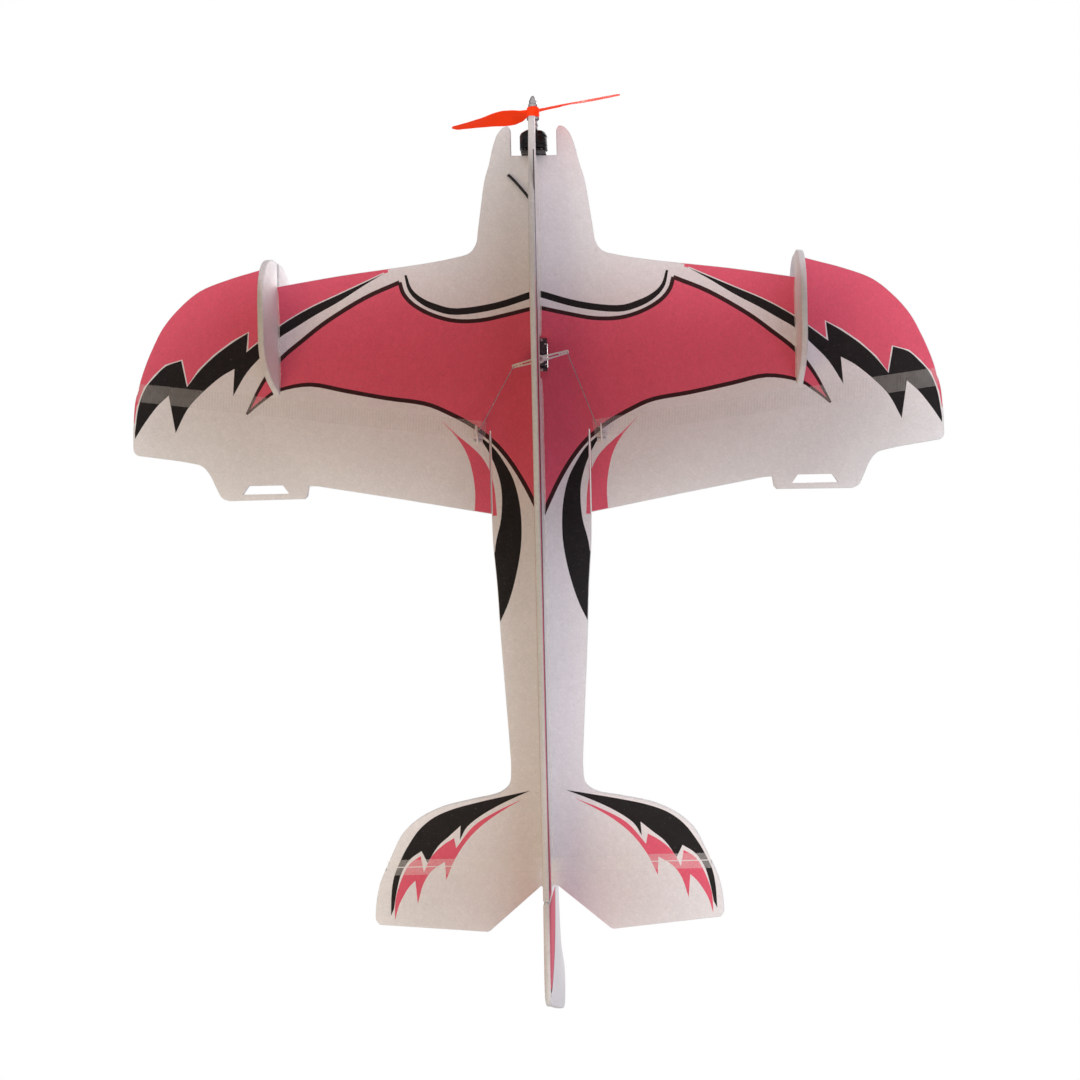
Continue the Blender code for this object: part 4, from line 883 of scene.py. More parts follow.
# ------------------------------------------------------------------ servos
def servo(name, node, shaft, out, wires_to=None):
    """A 9 g servo: case in three parts with seams, gear boss, mounting lugs with screws, and a label-free smoked shell."""
    out = Vector(out)
    along = Vector((0.0, 1.0, 0.0))
    wide = out.cross(along)
    put = Matrix.Translation(Vector(shaft)) @ Matrix((wide, along, out)).transposed().to_4x4()
    mid, half_l, half_w = -5.5, 11.5, 6.0
    bm = bmesh.new()
    box_into(bm, (-half_w + 0.12, mid - half_l + 0.12, -13.7), (half_w - 0.12, mid + half_l - 0.12, 5.9), 0.5, 2, 0, put)
    for low, high in ((-14.0, -10.4), (-10.15, 3.0), (3.25, 6.2)):
        box_into(bm, (-half_w, mid - half_l, low), (half_w, mid + half_l, high), 0.45, 3, 0, put)
    for s in (-1, 1):
        box_into(bm, (-half_w, mid + s * 13.8 - 2.4, 0.4), (half_w, mid + s * 13.8 + 2.4, 2.6), 0.35, 2, 0, put)
    base = put @ Vector((0, 0, 0))
    lathe_into(bm, [(0.0, 6.0), (5.75, 6.0), (5.75, 9.1), (5.3, 9.6), (2.6, 9.6), (2.4, 9.9), (0.0, 9.9)], base, out, 40, 0)
    base2 = put @ Vector((0, -5.6, 0))
    lathe_into(bm, [(0.0, 6.0), (3.3, 6.0), (3.3, 8.2), (2.9, 8.6), (0.0, 8.6)], base2, out, 32, 0)
    # Splined output shaft.
    turn = Vector((0, 0, 1)).rotation_difference(out).to_matrix()
    rings = []
    for a in (9.8, 11.5):
        rings.append([bm.verts.new(base + turn @ Vector(((2.05 if k % 2 else 1.85) * math.cos(math.tau * k / 42), (2.05 if k % 2 else 1.85) * math.sin(math.tau * k / 42), a))) for k in range(42)])
    for k in range(42):
        bm.faces.new((rings[0][k], rings[0][(k + 1) % 42], rings[1][(k + 1) % 42], rings[1][k])).material_index = 1
    for ring in rings:
        bm.faces.new(ring).material_index = 1
    # Case screws, and the lug screws with their cross slots.
    for sx in (-1, 1):
        for sp in (-1, 1):
            c = put @ Vector((sx * (half_w - 1.5), mid + sp * (half_l - 1.5), 0))
            lathe_into(bm, [(0.0, 6.0), (0.8, 6.0), (0.8, 6.3), (0.5, 6.45), (0.0, 6.45)], c, out, 16, 1)
    for s in (-1, 1):
        c = put @ Vector((0.0, mid + s * 14.3, 0))
        lathe_into(bm, [(0.0, 2.5), (1.9, 2.5), (1.9, 3.0), (1.3, 3.7), (0.0, 3.9)], c, out, 24, 1)
        for a in (0.0, math.pi / 2):
            q = put @ Matrix.Translation((0.0, mid + s * 14.3, 3.8)) @ Matrix.Rotation(a + 0.4, 4, "Z")
            box_into(bm, (-1.1, -0.17, -0.1), (1.1, 0.17, 0.16), 0, 1, 2, q)
    # The strain relief where the lead leaves the case.
    box_into(bm, (-2.3, mid - half_l - 1.0, -12.2), (2.3, mid - half_l + 1.0, -10.6), 0.25, 2, 2, put)
    obj = finish(name, bm, [SERVO, STEEL, PIN_BLOCK], "airframe", [node], angle=40.0)
    return put


def ribbon(name, path, body="airframe", colours=None, pitch=1.15, radius=0.55, side=None, replaced=()):
    """A flat three-wire lead along a path."""
    colours = colours or [WIRE_BROWN, WIRE_RED, WIRE_YELLOW]
    bm = bmesh.new()
    pts = [Vector(q) for q in path]
    for w, _ in enumerate(colours):
        off = (w - (len(colours) - 1) / 2) * pitch
        line = []
        for i, q in enumerate(pts):
            d = (pts[min(i + 1, len(pts) - 1)] - pts[max(i - 1, 0)]).normalized()
            s = Vector(side) if side else d.cross(Vector((0, 0, 1)) if abs(d.z) < 0.9 else Vector((1, 0, 0)))
            s = (s - d * s.dot(d)).normalized()
            line.append(q + s * off)
        tube_into(bm, line, radius, 10, w)
    return finish(name, bm, colours, body, replaced, angle=60.0)


DOWN = (0.0, 0.0, -1.0)
servo("servo_aileron_shell", "aileron_servo", (AIL_PIVOT[0], AIL_PIVOT[1], -HALF), DOWN)
servo("servo_elevator_shell", "elevator_servo", (HALF, *ELE_SERVO), (1.0, 0.0, 0.0))
servo("servo_rudder_shell", "rudder_servo", (-HALF, *RUD_SERVO), (-1.0, 0.0, 0.0))


def arm(name, nodes, body, shaft, out, tips, low=10.2):
    """A moulded arm: hub, tapering beam with a raised rim, a row of holes, and the centre screw."""
    out = Vector(out)
    along = Vector((0.0, 1.0, 0.0))
    wide = out.cross(along)
    put = Matrix.Translation(Vector(shaft)) @ Matrix((wide, along, out)).transposed().to_4x4()
    bm = bmesh.new()
    base = Vector(shaft)
    lathe_into(bm, [(2.15, low), (3.7, low), (3.95, low + 0.3), (3.95, low + 3.1), (3.6, low + 3.45), (2.2, low + 3.45), (2.15, low + 2.9)], base, out, 48, 0)
    lathe_into(bm, [(0.0, low + 2.2), (2.2, low + 2.2), (2.2, low + 2.9), (0.0, low + 2.9)], base, out, 32, 0)
    for tx, ty in tips:
        reach = math.hypot(tx, ty)
        spin = put @ Matrix.Rotation(math.atan2(ty, tx), 4, "Z")
        border = []
        for k in range(9):
            a = -math.pi / 2 + math.pi * k / 8
            border.append((reach + 1.9 * math.cos(a), 1.9 * math.sin(a)))
        border = [(3.2, -2.9), (reach * 0.5, -2.25)] + border + [(reach * 0.5, 2.25), (3.2, 2.9)]
        holes = []
        step = 3.2 if reach > 15 else 2.6
        r = reach
        if reach > 15:
            holes.append([(reach - 9.0 + 0.75 * math.cos(a), 0.75 * math.sin(a)) for a in [math.radians(x) for x in range(-90, 91, 30)]]
                         + [(7.0 + 0.75 * math.cos(a), 0.75 * math.sin(a)) for a in [math.radians(x) for x in range(90, 271, 30)]])
        while r > (reach - 7.5 if reach > 15 else 6.5):
            holes.append([(r + 0.62 * math.cos(math.tau * k / 12), 0.62 * math.sin(math.tau * k / 12)) for k in range(12)])
            r -= step
        pts, tris = fill_caps(border, holes, [])
        z0, z1 = low + 1.25, low + 2.75
        faces = []
        for z in (z0, z1):
            vs = [bm.verts.new(spin @ Vector((q.x, q.y, z))) for q in pts]
            for tri, _ in tris:
                bm.faces.new([vs[k] for k in tri])
            faces.append({(round(q.x, 3), round(q.y, 3)): v for q, v in zip(pts, vs)})
        for loop in [border, *holes]:
            keys = [(round(u, 3), round(v, 3)) for u, v in loop]
            for k in range(len(keys)):
                n = (k + 1) % len(keys)
                quad = [faces[0].get(keys[k]), faces[0].get(keys[n]), faces[1].get(keys[n]), faces[1].get(keys[k])]
                if None not in quad:
                    bm.faces.new(quad)
        # A rib along each side of the beam, on the face away from the servo.
        for s in (-1, 1):
            line = [spin @ Vector((u, s * v, z1)) for u, v in ((3.4, 2.45), (reach * 0.5, 1.85), (reach - 1.0, 1.45))]
            tube_into(bm, line, 0.36, 8, 0)
    bmesh.ops.delete(bm, geom=[v for v in bm.verts if not v.link_faces], context="VERTS")
    lathe_into(bm, [(0.0, low + 2.9), (1.0, low + 2.9), (1.0, low + 3.2), (2.15, low + 3.2), (2.15, low + 3.9), (1.6, low + 4.6), (0.0, low + 4.75)], base, out, 32, 1)
    for a in (0.3, 0.3 + math.pi / 2):
        q = put @ Matrix.Translation((0.0, 0.0, low + 4.72)) @ Matrix.Rotation(a, 4, "Z")
        box_into(bm, (-1.2, -0.2, -0.15), (1.2, 0.2, 0.12), 0, 1, 2, q)
    return finish(name, bm, [NYLON, STEEL, PIN_BLOCK], body, nodes, angle=40.0)


swing = math.radians(AIL_ARM_TURN)
reach_x, reach_p = AIL_ARM * math.cos(swing), AIL_ARM * math.sin(swing)
arm("arm_aileron_servo", ["aileron_servo_arm", "aileron_arm_screw"], "aileron_arm", (AIL_PIVOT[0], AIL_PIVOT[1], -HALF), DOWN, [(reach_x, -reach_p), (-reach_x, reach_p)])
arm("arm_elevator_servo", ["elevator_servo_arm", "elevator_arm_screw"], "elevator_arm", (HALF, *ELE_SERVO), (1.0, 0.0, 0.0), [(TAIL_ARM, 0.0)])
arm("arm_rudder_servo", ["rudder_servo_arm", "rudder_arm_screw"], "rudder_arm", (-HALF, *RUD_SERVO), (-1.0, 0.0, 0.0), [(-TAIL_ARM, 0.0)])


def horn(name, node, body, foot, hole, lean, upright=True, spread=9.0, thick=1.4, eye=0.55):
    """A control horn: a curved web with holes on a flanged foot, held by two screws. eye is the radius of its top hole."""
    rim = max(2.3, eye + 1.0)
    (fp, fh), (hp, hh) = foot, hole
    dirn = 1.0 if hh > fh else -1.0

    def place(u, v, w):
        return (w, u, v) if upright else (v, u, w)

    top = hh + 2.4 * dirn
    border = [(fp - spread / 2, fh), (fp + spread / 2, fh), (fp + spread / 2, fh + 1.4 * dirn)]
    border += [(fp + spread / 2 + (hp + rim - fp - spread / 2) * s + 1.3 * math.sin(math.pi * s) * -1, fh + 1.4 * dirn + (hh - 0.6 * dirn - fh - 1.4 * dirn) * s) for s in (0.2, 0.4, 0.6, 0.8, 1.0)]
    border += [(hp + rim * math.cos(a), hh + rim * math.sin(a) * dirn) for a in ((0.5, 1.0, 1.57, 2.14, 2.64) if eye < 1 else (0.3, 0.7, 1.13, 1.57, 2.01, 2.44, 2.84))]
    border += [(hp - rim, hh - 0.6 * dirn)]
    border += [(hp - rim + (fp - spread / 2 - hp + rim) * s - 0.9 * math.sin(math.pi * s), hh - 0.6 * dirn + (fh + 1.4 * dirn - hh + 0.6 * dirn) * s) for s in (0.25, 0.5, 0.75, 1.0)]
    slope = (fp - hp) / (fh - hh)
    holes = []
    for drop in ((0.0, 2.6, 5.2) if eye < 1 else (0.0, eye + 1.9)):
        r, n = (eye, 28) if not drop and eye > 1 else (0.55, 12)
        cx, ch = hp - slope * 0.5 * drop * dirn * -1, hh - drop * dirn
        cx = hp + (fp - hp) * (drop / abs(fh - hh)) * 0.75
        holes.append([(cx + r * math.cos(math.tau * k / n), ch + r * math.sin(math.tau * k / n)) for k in range(n)])
    pts, tris = fill_caps(border, holes, [])
    bm = bmesh.new()
    faces = []
    for w in (-thick / 2, thick / 2):
        vs = [bm.verts.new(place(q.x, q.y, lean + w)) for q in pts]
        for tri, _ in tris:
            bm.faces.new([vs[k] for k in tri])
        faces.append({(round(q.x, 3), round(q.y, 3)): v for q, v in zip(pts, vs)})
    for loop in [border, *holes]:
        keys = [(round(u, 3), round(v, 3)) for u, v in loop]
        for k in range(len(keys)):
            n = (k + 1) % len(keys)
            quad = [faces[0].get(keys[k]), faces[0].get(keys[n]), faces[1].get(keys[n]), faces[1].get(keys[k])]
            if None not in quad:
                bm.faces.new(quad)
    bmesh.ops.delete(bm, geom=[v for v in bm.verts if not v.link_faces], context="VERTS")
    lo, hi = sorted((fh, fh + 1.0 * dirn))
    if upright:
        box_into(bm, (lean - 4.6, fp - spread / 2, lo), (lean + 4.6, fp + spread / 2, hi), 0.3, 2, 0)
    else:
        box_into(bm, (lo, fp - spread / 2, lean - 4.6), (hi, fp + spread / 2, lean + 4.6), 0.3, 2, 0)
    for s in (-1, 1):
        c = place(fp, fh, lean + s * 2.9)
        out = place(0.0, dirn, 0.0)
        lathe_into(bm, [(0.0, 0.8), (1.35, 0.8), (1.35, 1.3), (0.9, 1.75), (0.0, 1.85)], c, out, 20, 1)
    return finish(name, bm, [CLEAR_NYLON, STEEL], body, [node], angle=40.0)


for side, sign in (("left", -1), ("right", 1)):
    hp = hinge_p(HORN_X) + 0.4
    horn(f"horn_aileron_{side}", f"aileron_horn_{side}", f"aileron_{side}", (hp + 10.0, -HALF - 0.25), (hp, HORN_H), sign * HORN_X, eye=3.7)
    tip = (AIL_PIVOT[0] + sign * reach_x, AIL_PIVOT[1] - sign * reach_p)
    end = (sign * (HORN_X - 3.7), hp)
    mid = lambda s: (end[0] * s + tip[0] * (1 - s), end[1] * s + tip[1] * (1 - s))
    bm = bmesh.new()
    path = [(tip[0], tip[1], -HALF - 10.6), (tip[0], tip[1], -HALF - 12.4), (tip[0], tip[1], AIL_ROD_H + 0.35)]
    path += [(*mid(0.012), AIL_ROD_H), (*mid(0.1), AIL_ROD_H), (*mid(0.5), AIL_ROD_H + 0.25), (*mid(0.9), HORN_H - 0.45), (*mid(0.985), HORN_H - 0.1)]
    path += [(end[0] + sign * 0.2, end[1], HORN_H), (end[0] + sign * 6.0, end[1], HORN_H), (end[0] + sign * 6.4, end[1], HORN_H - 0.3)]
    tube_into(bm, path, 0.5, 14, 0)
    finish(f"wire_aileron_{side}", bm, STEEL, f"aileron_rod_{side}", [f"aileron_pushrod_{side}"], angle=50.0)


def tail_rod(name, node, body, way, start, end, joined):
    """A carbon rod with wire ends: bound with heat shrink where the wires overlap the rod."""
    bm = bmesh.new()
    x_rod, x_arm = way * (HALF + 14.6), way * (HALF + 12.0)
    (sp, sh), (ep, eh) = start, end
    lerp = lambda s: (x_rod, sp + (ep - sp) * s, sh + (eh - sh) * s)
    tube_into(bm, [lerp(0.055), lerp(0.5), lerp(0.955)], 0.75, 14, 0)
    tube_into(bm, [(x_arm - way * 0.6, sp, sh), (x_arm + way * 1.4, sp, sh), (x_rod - way * 0.25, sp + 0.1, sh), (x_rod + way * 0.55, sp + 1.0, sh), (x_rod + way * 0.9, *lerp(0.03)[1:]), (x_rod + way * 0.95, *lerp(0.12)[1:])], 0.45, 12, 1)
    back = [(x_rod + way * 0.95, *lerp(0.90)[1:]), (x_rod + way * 0.9, *lerp(0.975)[1:]), (x_rod + way * 0.5, ep - 1.0, eh), (x_rod, ep, eh)]
    if joined:
        back += [(x_rod - way * 3.8, ep, eh)]
    tube_into(bm, back, 0.45, 12, 1)
    for s0, s1 in ((0.065, 0.115), (0.905, 0.95)):
        n = 8
        line, radii = [], []
        for i in range(n + 1):
            s = s0 + (s1 - s0) * i / n
            q = lerp(s)
            line.append((q[0] + way * 0.45, q[1], q[2]))
            radii.append(1.55 + 0.12 * math.sin(i * 2.4) if 0 < i < n else 1.35)
        tube_into(bm, line, 1.5, 16, 2, radii=radii)
    return finish(name, bm, [CARBON, STEEL, SHRINK], body, [node], angle=50.0)


tail_rod("rod_elevator", "elevator_pushrod", "elevator_rod", 1, (ELE_SERVO[0], ELE_SERVO[1] + TAIL_ARM), (ELEVATOR_P, TAIL_ARM), True)
tail_rod("rod_rudder", "rudder_pushrod", "rudder_rod", -1, (RUD_SERVO[0], RUD_SERVO[1] + TAIL_ARM), (RUDDER_P, RUD_SERVO[1] + TAIL_ARM), False)
horn("horn_elevator", "elevator_horn", "elevator", (ELEVATOR_P + 9.5, HALF + 0.25), (ELEVATOR_P, TAIL_ARM), HALF + 11.4)
horn("horn_rudder", "rudder_horn", "rudder", (RUDDER_P + 9.5, -HALF - 0.25), (RUDDER_P, -TAIL_ARM), RUD_SERVO[1] + TAIL_ARM - 2.4, upright=False)


# ------------------------------------------------------------------ carbon strips keep their CAD shape
for node in ("wing_spar", "fuselage_stiffener", "elevator_joiner"):
    obj = NODES[node]
    obj.data.materials.clear()
    obj.data.materials.append(CARBON)

# ------------------------------------------------------------------ motor
AFT = Vector((0.0, 1.0, 0.0))


def ring_put(angle, radius, p):
    """A frame at an angle round the thrust line: x points outwards, z points aft."""
    return Matrix.Translation((0.0, p, 0.0)) @ Matrix.Rotation(angle, 4, "Y") @ Matrix.Translation((radius, 0.0, 0.0))


bm = bmesh.new()
lathe_into(bm, [(12.5, -359.3), (13.5, -359.3), (13.8, -359.7), (13.8, -362.6), (13.55, -362.8), (13.55, -363.2), (13.8, -363.4), (13.8, -370.6), (13.6, -370.9), (13.8, -371.2), (13.8, -372.6), (13.2, -374.4), (12.4, -375.6), (11.6, -375.9), (11.4, -374.6), (12.5, -372.8)],
           (0, 0, 0), AFT, 72, 0)
# The bell's front: a hub, a rim and six spokes with open windows between.
lathe_into(bm, [(1.55, -379.1), (4.6, -379.1), (5.2, -378.6), (5.4, -376.3), (5.2, -375.4), (1.55, -375.4)], (0, 0, 0), AFT, 48, 0)
for k in range(6):
    a = math.tau * k / 6 + 0.2
    put = Matrix.Rotation(a, 4, "Y")
    verts = []
    for r, p0, p1, w in ((4.9, -378.7, -376.0, 1.9), (8.5, -378.2, -375.8, 1.5), (12.3, -375.7, -374.2, 2.3)):
        verts.append([bm.verts.new(put @ Vector((r, p, z))) for p, z in ((p0, -w), (p0, w), (p1, w), (p1, -w))])
    for low, high in zip(verts, verts[1:]):
        for j in range(4):
            bm.faces.new((low[j], low[(j + 1) % 4], high[(j + 1) % 4], high[j]))
    bm.faces.new(verts[0][::-1])
    bm.faces.new(verts[-1])
# Magnets show at the open aft rim, as short plates inside the can.
for k in range(14):
    put = ring_put(math.tau * k / 14, 12.05, -360.4)
    box_into(bm, (-0.45, -11.4, -2.1), (0.45, 0.5, 2.1), 0.15, 1, 1, put)
# Two grub screws in the hub.
for k in range(2):
    c = Matrix.Rotation(math.tau * k / 2 + 0.7, 4, "Y") @ Vector((5.1, -377.2, 0.0))
    lathe_into(bm, [(0.0, 0.0), (0.8, 0.0), (0.8, 0.35), (0.45, 0.35), (0.45, 0.05), (0.0, 0.05)], c, Vector((c.x, 0, c.z)), 16, 1)
finish("bell_of_motor", bm, [ANODISED, STEEL], "rotor", ["motor_bell"], angle=35.0)

bm = bmesh.new()
lathe_into(bm, [(0.0, -357.8), (1.25, -357.8), (1.5, -358.1), (1.5, -404.6), (1.2, -405.0), (0.0, -405.0)], (0, 0, 0), AFT, 32, 0)
finish("shaft_of_motor", bm, STEEL, "rotor", ["motor_shaft"])

bm = bmesh.new()
lathe_into(bm, [(1.6, -356.5), (10.6, -356.5), (11.2, -356.9), (11.2, -359.2), (10.8, -359.6), (5.2, -359.9), (5.2, -361.4), (1.6, -361.4)], (0, 0, 0), AFT, 56, 0)
lathe_into(bm, [(1.6, -361.2), (3.4, -361.2), (3.4, -374.6), (1.6, -374.6)], (0, 0, 0), AFT, 32, 0)
for k in range(12):
    a = math.tau * k / 12
    put = ring_put(a, 0.0, -367.5)
    box_into(bm, (3.2, -4.6, -0.85), (9.9, 4.6, 0.85), 0.1, 1, 1, put)  # stator tooth
    box_into(bm, (9.8, -4.6, -2.35), (10.9, 4.6, 2.35), 0.2, 1, 1, put)  # its shoe
    for j in range(6):
        r = 4.4 + j * 0.92
        w = 0.95 + 0.26 * j
        loop = [put @ Vector((r, 5.1 * c + 0.0, w * s)) for c, s in [(math.copysign(abs(math.cos(t)) ** 0.35, math.cos(t)), math.copysign(abs(math.sin(t)) ** 0.6, math.sin(t))) for t in [math.tau * i / 16 for i in range(16)]]]
        rings = []
        for i, q in enumerate(loop):
            d = (loop[(i + 1) % 16] - loop[i - 1]).normalized()
            o = (q - put @ Vector((r, 0, 0))).normalized()
            n = d.cross(o).normalized()
            rings.append([bm.verts.new(q + o * math.cos(math.tau * m / 6) * 0.42 + n * math.sin(math.tau * m / 6) * 0.42) for m in range(6)])
        for i in range(16):
            for m in range(6):
                bm.faces.new((rings[i][m], rings[i][(m + 1) % 6], rings[(i + 1) % 16][(m + 1) % 6], rings[(i + 1) % 16][m])).material_index = 2
# Four mounting arms on the plate, each with a cap screw.
for k in range(4):
    a = math.tau * k / 4 + math.pi / 4
    put = ring_put(a, 0.0, -356.6)
    box_into(bm, (8.0, -1.6, -2.0), (12.6, 0.0, 2.0), 0.5, 2, 0, put)
    c = put @ Vector((10.9, -1.6, 0.0))
    lathe_into(bm, [(0.0, 0.0), (1.6, 0.0), (1.6, 0.6), (1.35, 0.85), (0.85, 0.85), (0.85, 0.35), (0.0, 0.35)], c, (0, -1, 0), 24, 1)
finish("stator_of_motor", bm, [ANODISED, DARK_STEEL, COPPER], "airframe", ["motor_base"], angle=40.0)

bm = bmesh.new()
border = []
for sx, sz in ((1, 1), (-1, 1), (-1, -1), (1, -1)):
    a0 = {(1, 1): 0, (-1, 1): 90, (-1, -1): 180, (1, -1): 270}[(sx, sz)]
    for a in range(0, 91, 18):
        border.append((sx * 9.8 + 2.4 * math.cos(math.radians(a0 + a)), sz * 9.8 + 2.4 * math.sin(math.radians(a0 + a))))
holes = [[(4.2 * math.cos(math.tau * k / 24), 4.2 * math.sin(math.tau * k / 24)) for k in range(24)]]
pts, tris = fill_caps(border, holes, [])
sides = []
for p, m in ((-356.3, 0), (-354.3, 0)):
    vs = [bm.verts.new((q.x, p, q.y)) for q in pts]
    for tri, _ in tris:
        bm.faces.new([vs[k] for k in tri])
    sides.append({(round(q.x, 3), round(q.y, 3)): v for q, v in zip(pts, vs)})
for loop in [border, *holes]:
    keys = [(round(u, 3), round(v, 3)) for u, v in loop]
    for k in range(len(keys)):
        n = (k + 1) % len(keys)
        quad = [sides[0].get(keys[k]), sides[0].get(keys[n]), sides[1].get(keys[n]), sides[1].get(keys[k])]
        if None not in quad:
            bm.faces.new(quad)
bmesh.ops.delete(bm, geom=[v for v in bm.verts if not v.link_faces], context="VERTS")
finish("motor_plate", bm, GLASS_PLATE, "airframe", ["motor_mount"], angle=40.0)

# ------------------------------------------------------------------ propeller
bm = bmesh.new()
lathe_into(bm, [(1.6, -379.6), (4.0, -379.6), (4.3, -379.9), (4.3, -382.4), (3.7, -382.8), (3.7, -384.0), (4.3, -384.4), (4.3, -388.0), (6.2, -389.3), (6.4, -389.7), (6.4, -391.6), (6.1, -391.9), (1.6, -391.9)], (0, 0, 0), AFT, 56, 0)
for k in range(3):
    a = math.tau * k / 3
    box_into(bm, (3.9, -0.0, -0.25), (4.45, 8.0, 0.25), 0, 1, 1, Matrix.Translation((0.0, -388.2, 0.0)) @ Matrix.Rotation(a, 4, "Y"))
finish("collet_of_prop", bm, [ALU, PIN_BLOCK], "rotor", ["prop_adapter"], angle=35.0)
bm = bmesh.new()
lathe_into(bm, [(1.6, -401.9), (4.6, -401.9), (4.8, -402.3), (4.8, -404.2), (4.2, -404.8), (3.9, -405.6), (3.75, -407.4), (3.2, -409.6), (2.2, -411.7), (1.1, -413.0), (0.0, -413.4), (0.0, -405.6), (1.6, -405.6)], (0, 0, 0), AFT, 48, 0)
for a in (0.0,):
    q = Matrix.Translation((0.0, -407.6, 0.0))
    lathe_into(bm, [(0.0, 3.6), (0.85, 3.6), (0.85, 3.85), (0.0, 3.85)], Vector((0, -407.6, 0)), (1, 0, 0), 16, 1)
    lathe_into(bm, [(0.0, 3.6), (0.85, 3.6), (0.85, 3.85), (0.0, 3.85)], Vector((0, -407.6, 0)), (-1, 0, 0), 16, 1)
finish("spinner_nut", bm, [ALU, PIN_BLOCK], "rotor", ["prop_nut"], angle=35.0)

bm = bmesh.new()
STEPS, SEC = 44, 26
for turned in (PROP_TURN, PROP_TURN + 180.0):
    spin = Matrix.Translation((0.0, PROP_P, 0.0)) @ Matrix.Rotation(math.radians(turned), 4, "Y")
    rings = []
    for i in range(STEPS + 1):
        s = i / STEPS
        r = 3.5 + (PROP_RADIUS - 3.5) * s
        # Narrow root, widest near a third of the way out, and a long taper to a rounded tip.
        knots = ((0.0, 9.0), (0.08, 11.5), (0.18, 20.0), (0.28, 24.0), (0.40, 23.0), (0.60, 17.5), (0.80, 12.8), (0.93, 9.8), (1.0, 8.6))
        for (s0, c0), (s1, c1) in zip(knots, knots[1:]):
            if s0 <= s <= s1:
                f = (s - s0) / (s1 - s0)
                chord = c0 + (c1 - c0) * (f * f * (3 - 2 * f) * 0.5 + f * 0.5)
        tip = max(0.0, (s - 0.955) / 0.045)
        chord *= math.sqrt(max(0.03, 1 - tip * tip))
        thick = 4.2 * math.exp(-3.4 * s) + 1.45
        if s < 0.08:
            thick = max(thick, 5.0)
        beta = min(math.atan2(PROP_PITCH, math.tau * max(r, 6.0)), math.radians(21.0))
        sweep = -1.8 * math.sin(math.pi * s) + 1.5 * s * s
        ring = []
        for k in range(SEC):
            t = math.tau * k / SEC
            c = math.cos(t)
            along = c * chord / 2 + sweep * 0.5
            shape = math.sin(t) * thick / 2 * (0.62 + 0.38 * c) * (1.0 if math.sin(t) > 0 else 0.62)
            high = shape + 0.045 * chord * (1 - c * c)
            ring.append(bm.verts.new(spin @ Vector((r, -along * math.sin(beta) - high * math.cos(beta), along * math.cos(beta) - high * math.sin(beta)))))
        rings.append(ring)
    for low, high in zip(rings, rings[1:]):
        for k in range(SEC):
            n = (k + 1) % SEC
            bm.faces.new((low[k], low[n], high[n], high[k]))
    bm.faces.new(rings[0][::-1])
    bm.faces.new(rings[-1])
lathe_into(bm, [(1.55, -392.1), (5.6, -392.1), (6.1, -392.6), (6.15, -395.0), (6.15, -399.0), (6.1, -401.0), (5.6, -401.5), (4.4, -401.5), (4.2, -400.9), (2.4, -400.9), (1.55, -401.5)], (0, 0, 0), AFT, 64, 0)
finish("blades_of_prop", bm, ORANGE, "rotor", ["propeller"], angle=50.0)

# ------------------------------------------------------------------ battery, speed controller, receiver
TOP = HALF + 0.4


def pillow(bm, low, high, bevel, segments, mat, bulge):
    """A bevelled box, standing for a wrapped cell stack."""
    box_into(bm, low, high, bevel, segments, mat)


bm = bmesh.new()
mid_h = TOP + 10.0
for k in range(2):
    h0 = TOP + 2.05 + k * 7.95
    box_into(bm, (6.2, -273.6, h0), (35.8, -218.4, h0 + 7.85), 1.9, 4, 1)
# The wrap: a sleeve round the middle with soft creases, stopping short of the ends.
n = 40
rows = []
for i in range(n + 1):
    p = -271.5 + (51.0) * i / n
    ring = []
    for k in range(48):
        a = math.tau * k / 48
        cx, ch = math.cos(a), math.sin(a)
        m = (abs(cx) ** 8 + abs(ch) ** 8) ** (-1 / 8)
        crease = 0.10 * math.sin(p * 1.7 + 3 * math.sin(a * 2)) * (1 if i < 6 or i > n - 6 else 0.25)
        pinch = 0.35 if i in (0, n) else 0.0
        ring.append(bm.verts.new((21.0 + cx * m * (15.0 - pinch + crease * 0.4), p, mid_h + ch * m * (8.0 - pinch + crease * 0.4))))
    rows.append(ring)
for low, high in zip(rows, rows[1:]):
    for k in range(48):
        bm.faces.new((low[k], low[(k + 1) % 48], high[(k + 1) % 48], high[k])).material_index = 0
bm.faces.new(rows[0][::-1]).material_index = 0
bm.faces.new(rows[-1]).material_index = 0
# Plain paler band across the wrap, as a raised film.
for p0, p1 in ((-258.0, -254.5), (-236.0, -232.5)):
    rr = []
    for p in (p0, p0 + 0.2, p1 - 0.2, p1):
        inset_by = -0.02 if p in (p0, p1) else 0.08
        ring = []
        for k in range(48):
            a = math.tau * k / 48
            cx, ch = math.cos(a), math.sin(a)
            m = (abs(cx) ** 8 + abs(ch) ** 8) ** (-1 / 8)
            ring.append(bm.verts.new((21.0 + cx * m * (15.0 + inset_by), p, mid_h + ch * m * (8.0 + inset_by))))
        rr.append(ring)
    for low, high in zip(rr, rr[1:]):
        for k in range(48):
            bm.faces.new((low[k], low[(k + 1) % 48], high[(k + 1) % 48], high[k])).material_index = 2
finish("cell_pack", bm, [WRAP, FOIL, NYLON], "airframe", ["battery"], angle=40.0)

